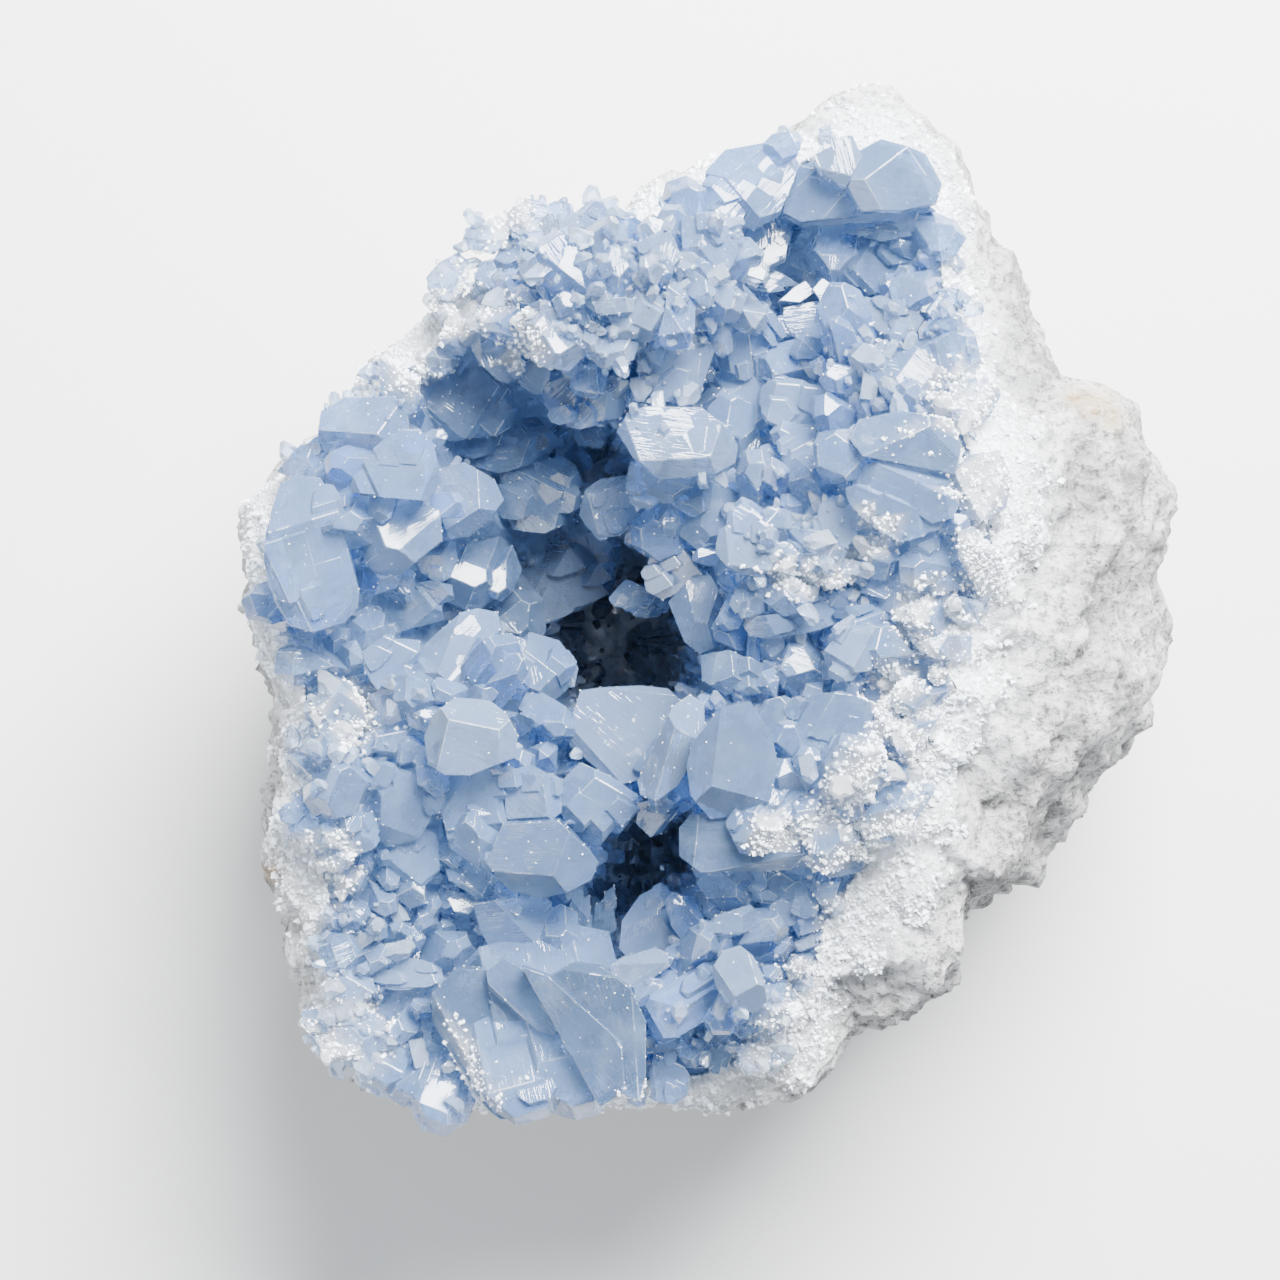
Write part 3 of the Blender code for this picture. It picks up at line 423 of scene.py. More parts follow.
         (290, 24, 675, 770, 2.2), (190, 40, 655, 770, 1.6)),
        (3, 0.5, ((686, 765), (692, 742), (720, 705), (750, 700), (772, 735), (778, 765),
         (770, 800), (745, 815), (710, 819), (690, 795)), (330, 14, 740, 750, 4),
         (180, 40, 700, 770, 3), (270, 42, 735, 800, 2.6)),
        (2, 0.8, ((755, 715), (765, 700), (785, 695), (800, 705), (782, 735), (765, 738))),
        (1, 0.7, ((790, 700), (840, 690), (880, 705), (870, 745), (820, 760), (785, 750))),
        (26, 0.45, ((636, 802), (665, 795), (677, 812), (662, 834), (650, 838), (635, 824))),
        (5, 0.85, ((700, 655), (730, 650), (760, 665), (755, 690), (725, 695), (702, 680))),
    ),
    "near_left": (
        (1, 0.55, ((284, 812), (298, 795), (340, 788), (352, 800), (346, 826), (310, 839),
         (290, 832))),
        (2, 0.5, ((325, 850), (342, 822), (372, 811), (381, 830), (372, 846), (350, 857),
         (333, 861))),
        (2, 0.65, ((370, 760), (400, 770), (432, 777), (442, 800), (420, 838), (385, 850),
         (369, 820))),
        (2, 0.4, ((398, 832), (415, 818), (438, 835), (441, 870), (425, 886), (400, 882),
         (388, 862))),
        (3, 0.65, ((440, 775), (500, 772), (508, 822), (480, 850), (450, 840), (438, 800))),
        (4, 0.4, ((503, 772), (530, 764), (562, 780), (562, 812), (548, 823), (506, 821))),
        (4, 0.6, ((486, 862), (503, 822), (560, 818), (590, 848), (599, 862), (592, 880),
         (570, 891), (540, 898), (510, 891)), (190, 12, 545, 850, 4.4), (330, 34, 585, 865, 2.6),
         (255, 46, 530, 885, 2.4)),
        (7, 0.35, ((560, 782), (580, 762), (610, 775), (640, 796), (626, 815), (600, 846),
         (585, 846), (563, 812))),
        (1, 0.6, ((438, 845), (470, 850), (500, 880), (508, 895), (478, 898), (450, 880))),
        (3, 0.3, ((473, 902), (505, 896), (545, 896), (558, 915), (532, 955), (497, 961),
         (480, 930)), (20, 30, 530, 907, 2), (250, 25, 515, 935, 2.6)),
        (5, 0, ((507, 908), (515, 902), (525, 907), (518, 917)), (*GLINT, 516, 909, 0.5)),
        (5, 0, ((534, 906), (546, 898), (553, 903), (544, 913)), (*GLINT, 543, 905, 0.5)),
        (2, 0, ((447, 898), (462, 892), (477, 904), (470, 914), (454, 911)),
         (*GLINT, 462, 903, 0.7)),
        (1, 0.05, ((340, 925), (352, 910), (367, 920), (358, 932), (345, 934)),
         (*GLINT, 354, 921, 0.7)),
        (0, 0.7, ((445, 936), (478, 935), (482, 950), (460, 963), (445, 956))),
        (1, 0.1, ((370, 968), (385, 955), (420, 959), (441, 965), (445, 980), (430, 986),
         (395, 987), (372, 982))),
        (1, 0.15, ((318, 988), (335, 975), (365, 964), (377, 990), (360, 1006), (330, 1006))),
        (1, 0.1, ((310, 1015), (350, 1007), (380, 1015), (391, 1040), (370, 1061), (330, 1062),
         (312, 1042))),
        (4, 1, ((489, 988), (540, 1030), (580, 1047), (597, 1090), (600, 1110), (560, 1112),
         (540, 1101), (515, 1076), (495, 1036)), (225, 8, 540, 1070, 2.6),
         (300, 40, 594, 1080, 2.2)),
        (5, 0.7, ((486, 968), (504, 956), (522, 966), (545, 998), (560, 1033), (540, 1030),
         (489, 990)), (150, 10, 515, 985, 2.4), (215, 40, 500, 995, 2.2)),
        (5, 0.9, ((521, 964), (548, 973), (585, 1010), (622, 1040), (626, 1090), (600, 1106),
         (596, 1090), (580, 1047), (546, 1000)), (230, 9, 580, 1030, 2.6),
         (30, 42, 612, 1020, 2.2)),
        (6, 1, ((549, 975), (575, 961), (602, 965), (630, 985), (646, 1020), (646, 1075),
         (640, 1099), (626, 1095), (622, 1042), (585, 1012)), (205, 9, 610, 1010, 2.6),
         (0, 42, 642, 1030, 2), (90, 40, 590, 970, 2.2)),
        (3, 1, ((432, 990), (455, 966), (486, 966), (490, 1012), (500, 1052), (532, 1086),
         (544, 1106), (534, 1121), (500, 1119), (475, 1096), (450, 1050), (433, 1020)),
         (340, 9, 480, 1030, 3), (215, 42, 462, 1060, 2.4), (290, 44, 520, 1100, 2)),
    ),
    "near_right": (
        (2, 0.3, ((649, 1070), (656, 1046), (670, 1040), (690, 1075), (688, 1096), (675, 1105),
         (652, 1100))),
        (4, 0.25, ((619, 948), (622, 920), (640, 895), (660, 885), (679, 896), (683, 920),
         (681, 950), (652, 960), (626, 956))),
        (3, 0.35, ((682, 905), (690, 890), (708, 882), (723, 890), (729, 905), (715, 916),
         (690, 916))),
        (5, 0.05, ((608, 966), (622, 957), (655, 947), (668, 952), (670, 965), (655, 976),
         (635, 987), (625, 990), (613, 977)), (200, 14, 630, 968, 1.6), (110, 40, 640, 955, 1.2)),
        (4, 0.2, ((633, 987), (650, 978), (686, 982), (681, 995), (660, 1006), (645, 1008),
         (635, 999))),
        (5, 0.05, ((712, 967), (722, 950), (740, 945), (753, 955), (763, 975), (768, 1000),
         (758, 1013), (740, 1011), (725, 1001), (715, 986)), (120, 14, 740, 975, 2.2),
         (300, 40, 745, 1000, 1.8), (30, 45, 755, 965, 1.8), (200, 45, 722, 985, 1.6)),
        (3, 0.2, ((700, 932), (715, 915), (750, 904), (766, 919), (750, 931), (717, 941))),
        (2, 0.15, ((769, 907), (785, 894), (806, 900), (801, 924), (781, 927))),
        (2, 0.1, ((735, 1047), (760, 1039), (776, 1060), (760, 1076), (741, 1066))),
        (1, 0.75, ((703, 1012), (720, 1005), (736, 1016), (735, 1045), (728, 1071), (712, 1066),
         (705, 1036))),
        (9, 0.95, ((679, 828), (690, 814), (760, 808), (800, 815), (812, 845), (790, 870),
         (700, 872), (679, 856)), (270, 5, 740, 845, 2), (180, 40, 690, 845, 1.4),
         (280, 45, 745, 868, 1.4)),
        (2, 0.7, ((735, 885), (760, 872), (800, 872), (812, 892), (800, 906), (755, 902))),
        (8, 0.4, ((560, 940), (575, 900), (590, 896), (592, 930), (578, 962), (562, 960))),
        (10, 0.75, ((595, 905), (612, 895), (618, 930), (606, 952), (592, 945))),
        (2, 0.15, ((812, 848), (835, 838), (868, 850), (862, 872), (830, 878), (812, 866))),
    ),
}

# How deep the blue of each group is: 0 is frosty and pale, 1 clear and slate blue. The deep blue of
# the recess is partly its clearer crystal and partly painted shade
DEPTH_OF_BLUE = {
    "mound": -0.3, "recess": 0.85, "left": 0.35, "middle": 0.45, "bridge": 0.2,
    "far_right": 0.3, "peak": 0.4, "near_left": 0.5, "near_right": 0.35, "filler": 0.4,
}

# What the palest crystals are taken to instead of 0, towards the white of a chip at -1
PALER = -0.35

# How far a portrait's outline stands above the bed, and how deep it is rooted below that
PORTRAIT_LIFT = 1.5
PORTRAIT_DEPTH = 8

# A crystal's faces: the slope of its flanks and of the two pairs of faces that end it
FLANK_SLOPE = 38
ROOF_SLOPE = 50
CHISEL_SLOPE = 58
SMALL = 7.5
STAND = 0.12
ROOT = 0.35
UNEVEN = 0.13
ASKEW = 3

# Crystals too many to name: a grain is the spacing and the range of widths
MOUND_PX = (590, 302)
MOUND_RADIUS = 12
MOUND_FILLERS = 20
MOUND_GRAIN = (4.2, (5, 7.5))
BED_FILLERS = 45
BED_GRAIN = (5.6, (5.5, 9))
SEED = 7
# Smaller ones, which the solids leave out: more on the mound and over the bed
FINE_MOUND_FILLERS = 60
FINE_MOUND_GRAIN = (2.3, (2.6, 5))
FINE_BED_FILLERS = 330
FINE_BED_GRAIN = (2.9, (2.6, 5.6))

# Where chips of crystal crowd: a place in the picture, radius and how thickly
CHIPPED = (
    (575, 300, 18, 0.6), (690, 260, 9, 0.4), (900, 340, 9, 0.5), (815, 560, 8, 0.8),
    (350, 720, 7, 0.7), (350, 960, 8, 0.6), (760, 1040, 7, 0.5), (370, 400, 5, 0.6),
    (880, 860, 8, 0.4), (345, 1030, 7, 0.6),
)

# Where white sugar crusts the crystals: a place in the picture and radius
SUGARED = (
    (790, 578, 3.2), (835, 570, 3), (868, 540, 3.5), (925, 695, 7), (870, 830, 8), (775, 842, 3.5),
    (990, 480, 4.5), (500, 215, 4), (450, 300, 5), (520, 335, 4), (345, 715, 4.5), (320, 870, 5),
    (330, 1040, 7), (820, 1000, 6), (960, 400, 5), (990, 560, 5), (930, 620, 5), (880, 900, 7),
    (415, 360, 4), (790, 1060, 6), (470, 1080, 3), (640, 1105, 3), (905, 760, 6),
)

# Where an ochre stain shows on the rock, as places in the picture and radii
STAINS = ((1098, 405, 3.2), (1112, 418, 2.2), (1075, 398, 2), (560, 1085, 2), (272, 872, 2))

# The crystals' looks: how many veils and uneven facets there are to a metre, how far a facet
# tilts, how much longer than wide their ribs are, and how far a rib stands up
VEILS = 190
FACETS = 430
FACET_TILT = 0.17
RIBS_STRETCH = (9, 0.9, 1)
RIB_RISE = 0.3
CELESTITE_IOR = 1.62
# Between these heights, in metres, the crystals darken to slate: painted shade low in the hollow
HOLLOW_SHADE_HEIGHTS = (0.05, 0.028)

# The rock's and the sugar's looks, to a metre, and how far crumbs and grains stand up
CLOUDS = 130
GRAIN = 900
CRUMBS = 420
SUGAR_CLOUDS = 220
CRUMB_RISE = 1.2
GRAIN_RISE = 0.9

# The small growth: the fold, in radians, that counts as a seam, how far points stray in metres,
# how far crystals lean, how few of them are large, and the most points to a square metre
SEAM_ANGLE = 0.45
STRAY = 0.0006
LEAN = 0.6
SKEW = 2.6
SHARE_PATCHES = 110
BED_CROWD = 4e6
GRAIN_CROWD = 4e7

# Along a section, as shares of its way: the rind's underside, its turn, the broken top and the
# hollow's side, and the bed's underside
RIND_SHARES = (0.16, 0.32, 0.47, 0.61, 0.74, 0.85, 0.94, 1)
TURN_SHARES = (0.3, 0.6, 0.82, 1)
TOP_SHARES = (0.33, 0.66, 1)
HOLLOW_SHARES = (0.985, 0.955, 0.86, 0.72, 0.55, 0.38, 0.2)
BED_SHARES = (0.2, 0.42, 0.62, 0.8, 0.94)

# Heights at which places in the picture are first looked up, and from which stains, dust,
# chips and sugar lie
PIT_LEVEL = 55
BED_LEVEL = 62
PORTRAIT_LEVEL = 64
ROOT_LEVEL = 65
MOUND_LEVEL = 70
STAIN_FROM = 35
CHIPS_FROM = 40
DUST_FROM = 45
SUGAR_FROM = 45

# The stage, in metres: the camera's sensor is in millimetres, and each light is a place and
# the side of its square
SENSOR = 36
NEAREST_SEEN = 0.01
FLOOR_SIZE = 2
MAIN_LIGHT = ((0.18, 0.42, 0.52), 0.42)
FILL_LIGHT = ((-0.5, -0.3, 0.5), 0.5)
LIT_POINT = Vector((0, 0, 0.05))
SKY_COLOUR = (0.8, 0.89, 1, 1)


def around(table, azimuth):
    """A smooth closed curve through the (azimuth, value) pairs of table, read at azimuth."""
    count = len(table)
    azimuth %= 360
    after = next((k for k, (at, _) in enumerate(table) if at > azimuth), count)
    knots = []
    for k in range(after - 2, after + 2):
        at, value = table[k % count]
        knots.append((at + 360 * (k // count), value))
    (a0, v0), (a1, v1), (a2, v2), (a3, v3) = knots
    span = a2 - a1
    t = (azimuth - a1) / span
    slope1 = (v2 - v0) / (a2 - a0) * span
    slope2 = (v3 - v1) / (a3 - a1) * span
    return (
        (2 * t**3 - 3 * t**2 + 1) * v1
        + (t**3 - 2 * t**2 + t) * slope1
        + (3 * t**2 - 2 * t**3) * v2
        + (t**3 - t**2) * slope2
    )


def bell(away):
    """How much is left of a lump or stain at that distance, as a share of its radius."""
    return math.exp(-2 * away**2)


def clamped(value):
    """The value, kept between 0 and 1."""
    return min(1, max(0, value))


def shoulder_radius(azimuth):
    return around(WIDEST_RADIUS, azimuth) - around(SHOULDER_INSET, azimuth)


def lip_at(azimuth):
    """The radius and the height of the lip there, with its ragged breaks."""
    way = direction(azimuth).to_3d() * 4
    radius = around(LIP_RADIUS, azimuth) + LIP_BREAKS * noise.fractal(way, 0.6, 2.0, 3)
    radius = min(radius, shoulder_radius(azimuth) - RIM_LEAST)
    way.z = 9
    height = around(LIP_HEIGHT, azimuth) + LIP_BREAKS / 2 * noise.fractal(way, 0.6, 2.0, 3)
    return radius, height


def smooth(low, high, x):
    t = clamped((x - low) / (high - low))
    return t * t * (3 - 2 * t)


def direction(azimuth):
    angle = math.radians(azimuth)
    return Vector((math.cos(angle), math.sin(angle)))


def plan(px, py, height):
    """The place over which a point of that height shows at that pixel of the picture."""
    scale = (EYE_HEIGHT - height) / FOCAL_PX
    step = Vector((px - PICTURE_CENTRE_PX, PICTURE_CENTRE_PX - py))
    return HOLLOW_AXIS + step * scale


def bed_height(place):
    """The height of the crystal bed: a dish inside the lip, with its swellings and pits."""
    out = place - HOLLOW_AXIS
    azimuth = math.degrees(math.atan2(out.y, out.x))
    lip, lip_top = lip_at(azimuth)
    part = out.length / lip
    height = lip_top - BED_DIP * (1 - min(1, part) ** 2)
    inside = 1 - smooth(0.8, 1.02, part)
    for px, py, radius, rise in SWELLINGS:
        away = (place - plan(px, py, height)).length / radius
        height += rise * bell(away) * inside
    for px, py, radius, depth in PITS:
        away = (place - plan(px, py, height)).length / radius
        height -= depth * (1 - smooth(0.55, 1.5, away)) * inside
    return max(height, HOLLOW_FLOOR + PIT_FLOOR)


def bed_underside(place):
    """The height of the rock under the crystal bed: the same dish, lower and smoother."""
    out = place - HOLLOW_AXIS
    azimuth = math.degrees(math.atan2(out.y, out.x))
    lip, lip_top = lip_at(azimuth)
    part = min(1, out.length / lip)
    dish = lip_top - BED_DIP * (1 - part**2)
    depth = BED_EDGE + BED_THICKNESS * math.sqrt(1 - part)
    for px, py, radius, pit in PITS:
        away = (place - plan(px, py, dish)).length / (radius * PIT_SPREAD)
        depth += pit * bell(away) * (1 - part**4)
    return max(HOLLOW_FLOOR, dish - depth)


def lumpy(point, size, amount, roughness=0.55, octaves=3):
    """A push outwards for the point, from lumps about that size across."""
    return amount * noise.fractal(point / size, roughness, 2.0, octaves)


def relief(point):
    """The push outwards there from the lumps and ledges that show in the picture."""
    push = 0
    for px, py, radius, rise in RELIEF:
        away = (point.xy - plan(px, py, point.z)).length / radius
        push += rise * bell(away)
    return push


def between(points, steps):
    """The points with more between them, on a smooth curve through them."""
    made = []
    last = len(points) - 1
    for k in range(last):
        before = points[max(0, k - 1)]
        start, end = points[k], points[k + 1]
        after = points[min(last, k + 2)]
        for step in range(steps):
            t = step / steps
            made.append(
                0.5
                * (
                    2 * start
                    + (end - before) * t
                    + (2 * before - 5 * start + 4 * end - after) * t**2
                    + (3 * start - before - 3 * end + after) * t**3
                )
            )
    made.append(points[last])
    return made


def rind_section(azimuth, steps):
    """One section of the rock, from its base over the rim into the hollow.

    Each row is a point, its chalk, how far its lumps push it out and its nearness to the rim.
    """
    out = direction(azimuth)
    widest = around(WIDEST_RADIUS, azimuth)
    middle = around(WIDEST_HEIGHT, azimuth)
    shoulder = shoulder_radius(azimuth)
    top = around(SHOULDER_HEIGHT, azimuth)
    lip, lip_top = lip_at(azimuth)
    rest = REST_CENTRE + Vector((REST_RADII[0] * out.x, REST_RADII[1] * out.y))
    edge = HOLLOW_AXIS + out * widest
    points = [rest.to_3d()]
    for part in RIND_SHARES:
        flat = rest.lerp(edge, part)
        rise = (1 - math.sqrt(1 - part**2)) ** 0.72
        points.append(Vector((flat.x, flat.y, middle * rise)))
    for part in TURN_SHARES:
        turn = part * math.pi / 2
        radius = shoulder + (widest - shoulder) * math.cos(turn) ** 0.8
        height = middle + (top - middle) * math.sin(turn) ** 1.1
        flat = HOLLOW_AXIS + out * radius
        points.append(Vector((flat.x, flat.y, height)))
    for part in TOP_SHARES:
        radius = shoulder + (lip - shoulder) * part
        height = top + (lip_top - top) * part**0.8
        flat = HOLLOW_AXIS + out * radius
        points.append(Vector((flat.x, flat.y, height)))
    points = between(points, steps)
    lip_point = points[-1].copy()
    section = []
    for point in points:
        away = point - Vector((REST_CENTRE.x, REST_CENTRE.y, middle * 0.8))
        calm = smooth(0, LIP_CALM, (point - lip_point).length)
        push = lumpy(point, 19, 3.2) + lumpy(point + away, 8, 1.2)
        if point.z > middle * 0.8:
            push += relief(point)
        push *= calm
        rough = 0.35 + 0.65 * calm
        crumbs = noise.noise(point / 1.9, noise_basis="VORONOI_F2F1")
        push += rough * (lumpy(point * 1.3, 4, 0.3, 0.8, 5) + 0.3 * crumbs - 0.1)
        moved = point + away.normalized() * push
        moved.z = max(moved.z, 0)
        if point is points[0]:
            moved = point
        powder = 1 - smooth(0, 20, (point - lip_point).length)
        powder *= smooth(middle * 0.7, middle, point.z)
        section.append((moved, powder, push, powder))
    for part in HOLLOW_SHARES:
        flat = HOLLOW_AXIS + out * (lip * part)
        section.append((Vector((flat.x, flat.y, bed_underside(flat))), 1, 0, 0))
    return section


def bed_section(azimuth, shares):
    """One section through the crystal bed, from under its middle, round the lip and back."""
    out = direction(azimuth)
    lip, lip_top = lip_at(azimuth)
    points = []
    for part in BED_SHARES:
        flat = HOLLOW_AXIS + out * (lip * part)
        points.append(Vector((flat.x, flat.y, bed_underside(flat) - BED_BITE)))
    edge = HOLLOW_AXIS + out * (lip + BED_BITE / 2)
    points.append(Vector((edge.x, edge.y, lip_top - BED_BITE)))
    for part in shares:
        flat = HOLLOW_AXIS + out * (lip * part)
        height = bed_height(flat) + 0.5 * noise.noise(flat.to_3d() / 2.2)
        points.append(Vector((flat.x, flat.y, height)))
    return points


def turned_skin(mesh, sections, first, last):
    """Closes the mesh through sections all round, with a point at each end. Returns its rows."""
    rows = [[mesh.verts.new(point * MM) for point in section] for section in sections]
    start = mesh.verts.new(first * MM)
    end = mesh.verts.new(last * MM)
    for row, following in zip(rows, rows[1:] + rows[:1]):
        mesh.faces.new((start, following[0], row[0]))
        for k in range(len(row) - 1):
            mesh.faces.new((row[k], following[k], following[k + 1], row[k + 1]))
        mesh.faces.new((row[-1], following[-1], end))
    bmesh.ops.recalc_face_normals(mesh, faces=mesh.faces[:])
    return rows


def crystal_planes(length, width, thickness, chance):
    """The faces of one crystal about its middle, as (normal, distance)."""
    flank = math.radians(FLANK_SLOPE + chance.uniform(-4, 4))
    roof = math.radians(ROOF_SLOPE + chance.uniform(-8, 5))
    chisel = math.radians(CHISEL_SLOPE + chance.uniform(-6, 6))
    blunt = width * chance.uniform(0.08, 0.22)
    narrow = thickness * chance.uniform(0.12, 0.3)
    planes = [(Vector((0, 0, 1)), length / 2), (Vector((0, 0, -1)), length / 2)]
    for sign in (-1, 1):
        if width > SMALL:
            planes.append((Vector((0, sign, 0)), thickness / 2))
        normal = Vector((sign * math.sin(roof), 0, math.cos(roof)))
        reach = length / 2 * math.cos(roof) + blunt * math.sin(roof)
        planes.append((normal, reach))
        normal = Vector((0, sign * math.sin(chisel), math.cos(chisel)))
        reach = length / 2 * math.cos(chisel) + narrow * math.sin(chisel)
        planes.append((normal, reach))
        for across in (-1, 1):
            normal = Vector((across * math.cos(flank), sign * math.sin(flank), 0))
            room = 0.5 if width > SMALL else 0.42
            planes.append((normal, width * room * math.cos(flank)))
    return planes


def cut_away(mesh, point, normal):
    """Cuts off what lies outside the plane, and closes the cut with one face."""
    everything = mesh.verts[:] + mesh.edges[:] + mesh.faces[:]
    cut = bmesh.ops.bisect_plane(
        mesh, geom=everything, plane_co=point, plane_no=normal, clear_outer=True
    )
    edges = [g for g in cut["geom_cut"] if isinstance(g, bmesh.types.BMEdge)]
    if edges:
        bmesh.ops.edgeloop_fill(mesh, edges=edges)


def crystal_mesh(name, sizes, chance, blue, worn_and_glowing, materials):
    """One crystal: a block cut down by its faces, each a little uneven, with worn edges."""
    mesh = bmesh.new()
    bmesh.ops.create_cube(mesh, size=2 * max(sizes) * MM)
    for normal, distance in crystal_planes(*sizes, chance):
        axis = Vector([chance.uniform(-1, 1) for _ in range(3)])
        tilt = Matrix.Rotation(math.radians(chance.uniform(-ASKEW, ASKEW)), 3, axis)
        normal = tilt @ normal
        distance *= 1 + chance.uniform(-UNEVEN, UNEVEN)
        cut_away(mesh, normal * distance * MM, normal)
    wear_edges(mesh, worn_and_glowing)
    mark_growth(mesh, blue, Vector(), Vector((0, 0, 1)))
    return named_mesh(name, mesh, materials)


def middle_of(outline):
    count = len(outline)
    return sum(x for x, _ in outline) / count, sum(y for _, y in outline) / count


def portrait_height(row):
    """The height of a portrait's outline, above the bed under its middle."""
    height = BED_LEVEL
    for _ in range(3):
        height = bed_height(plan(*middle_of(row[2]), height)) + row[0] + PORTRAIT_LIFT
    return height


def parallel_growth(row, height, chance):
    """Smaller crystals grown on a portrait, in parallel with it: each row and its height."""
    lift, blue, outline = row
    middle = Vector(middle_of(outline))
    width = max((Vector(point) - middle).length for point in outline)
    reach = width * (EYE_HEIGHT - height) / FOCAL_PX
    for _ in range(0 if reach < 2.2 else 2 if reach < 4.5 else 4):
        part = chance.uniform(0.3, 0.62)
        onto = middle.lerp(Vector(chance.choice(outline)), chance.uniform(0.4, 0.8))
        smaller = [tuple(onto + (Vector(point) - middle) * part) for point in outline]
        rise = reach * chance.uniform(0.12, 0.4) * (1.1 - part)
        yield (lift, blue, smaller), height + rise


def portrait_mesh(name, row, height, chance, worn_and_glowing, materials):
    """A crystal by its outline in the picture: a block with that outline, cut by its faces."""
    lift, blue, outline, *faces = row
    middle = middle_of(outline)
    centre = Vector((*plan(*middle, height), height))
    ring = [Vector((*plan(px, py, height), height)) - centre for px, py in outline]
    size = sum(point.length for point in ring) / len(ring)
    mesh = bmesh.new()
    root = max(PORTRAIT_DEPTH, size, lift + 5)
    for part, level in ((0.97, size), (1, 0), (0.72, -root)):
        for point in ring:
            at = centre + point * part
            at.z += level
            mesh.verts.new(at * MM)
    hull = bmesh.ops.convex_hull(mesh, input=mesh.verts[:])
    spare = {v for v in hull["geom_interior"] + hull["geom_unused"] if v.is_valid}
    bmesh.ops.delete(mesh, geom=list(spare), context="VERTS")
    bmesh.ops.dissolve_limit(
        mesh, angle_limit=math.radians(4), verts=mesh.verts[:], edges=mesh.edges[:]
    )
    cuts = []
    for azimuth, tilt, px, py, up in faces:
        level = height + up
        cuts.append((azimuth, tilt, Vector((*plan(px, py, level), level))))
    if not cuts:
        start = chance.uniform(0, 360)
        sides = chance.choice((3, 4, 4, 5))
        for side in range(sides):
            azimuth = start + 360 * side / sides + chance.uniform(-18, 18)
            tilt = chance.uniform(32, 60)
            rise = size * (math.tan(math.radians(tilt)) * chance.uniform(0.75, 1.2))
            cuts.append((azimuth, tilt, centre + Vector((0, 0, rise))))
        rise = size * chance.uniform(0.28, 0.5)
        glints = abs((start - GLINT[0] + 180) % 360 - 180) < 45
        tilt = chance.uniform(3, 11 if glints else 24)
        cuts.append((start, tilt, centre + Vector((0, 0, rise))))
    for azimuth, tilt, point in cuts:
        lean = math.radians(tilt)
        normal = (direction(azimuth) * math.sin(lean)).to_3d()
        normal.z = math.cos(lean)
        cut_away(mesh, point * MM, normal)
    wear_edges(mesh, worn_and_glowing)
    longest = max(ring, key=lambda point: point.length)
    mark_growth(mesh, blue, centre, longest.normalized())
    return named_mesh(name, mesh, materials)


def wear_edges(mesh, width):
    bmesh.ops.recalc_face_normals(mesh, faces=mesh.faces[:])
    if not width:
        return
    bmesh.ops.bevel(
        mesh,
        geom=mesh.edges[:],
        offset=width * MM,
        segments=1,
        affect="EDGES",
        clamp_overlap=True,
        material=1,
    )


def mark_growth(mesh, blue, centre, along):
    """Gives each face its depth of blue, and coordinates across and along its crystal."""
    tone = mesh.faces.layers.float.new("blue")
    growth = mesh.loops.layers.uv.new("growth")
    if blue >= 0:
        blue += PALER * (1 - blue)
    for face in mesh.faces:
        face[tone] = blue
        side = along.cross(face.normal)
        if side.length < 0.3:
            side = along.orthogonal()
        side.normalize()
        for loop in face.loops:
            at = (loop.vert.co / MM - centre) / 10
            loop[growth].uv = (at.dot(side), at.dot(side.cross(face.normal)))


def inside(px, py, outline):
    """Whether that place in the picture is inside the outline."""
    crossings = 0
    for (ax, ay), (bx, by) in zip(outline, outline[1:] + outline[:1]):
        if (ay > py) != (by > py) and px < ax + (py - ay) * (bx - ax) / (by - ay):
            crossings += 1
    return crossings % 2 == 1


def picture_place(place, height):
    """Where in the picture a point of that height over that place shows."""
    step = (place - HOLLOW_AXIS) * FOCAL_PX / (EYE_HEIGHT - height)
    return PICTURE_CENTRE_PX + step.x, PICTURE_CENTRE_PX - step.y


def has_portrait(place):
    px, py = picture_place(place, PORTRAIT_LEVEL)
    return any(inside(px, py, row[2]) for rows in PORTRAITS.values() for row in rows)


def named_mesh(name, mesh, materials):
    data = bpy.data.meshes.new(name)
    mesh.to_mesh(data)
    mesh.free()
    for material in materials:
        data.materials.append(material)
    return data


def standing(azimuth, tilt):
    """The turn of a crystal that points that way, with its broad face towards the eye."""
    a = math.radians(azimuth)
    t = math.radians(tilt)
    along = Vector((math.sin(t) * math.cos(a), math.sin(t) * math.sin(a), math.cos(t)))
    broad = Vector((-math.cos(t) * math.cos(a), -math.cos(t) * math.sin(a), math.sin(t)))
    across = broad.cross(along)
    return Matrix((across, broad, along)).transposed()


def rooted(place_of, azimuth, tilt, sizes, lift):
    """Where a crystal stands, whose middle shows at place_of(height) and whose root is sunk."""
    length = sizes[0]
    turn = standing(azimuth, tilt)
    along = turn.col[2]
    height = ROOT_LEVEL
    for _ in range(3):
        root = place_of(height) - along.xy * length * ROOT
        height = bed_height(root) + lift + length * STAND * along.z
    return Matrix.Translation(Vector((*place_of(height), height)) * MM) @ turn.to_4x4()


def named_crystals():
    for group, rows in CRYSTALS.items():
        for number, row in enumerate(rows):
            px, py, azimuth, tilt, length, width, thickness, lift = row
            chance = random.Random(f"{group} {number}")
            sizes = (length, width, thickness)
            turn = rooted(
                lambda z, px=px, py=py: plan(px, py, z), azimuth, tilt, sizes, lift
            )
            roll = Matrix.Rotation(math.radians(chance.uniform(-14, 14)), 4, "Z")
            yield f"{group}_{number}", turn @ roll, sizes, chance


def bed_slope(place):
    """Which way the bed faces: the azimuth it falls towards, and its tilt in degrees."""
    step = 1.5
    steps = (Vector((step, 0)), Vector((0, step)))
    fall = Vector([bed_height(place - way) - bed_height(place + way) for way in steps])
    tilt = math.degrees(math.atan(fall.length / (2 * step)))
    return math.degrees(math.atan2(fall.y, fall.x)), tilt


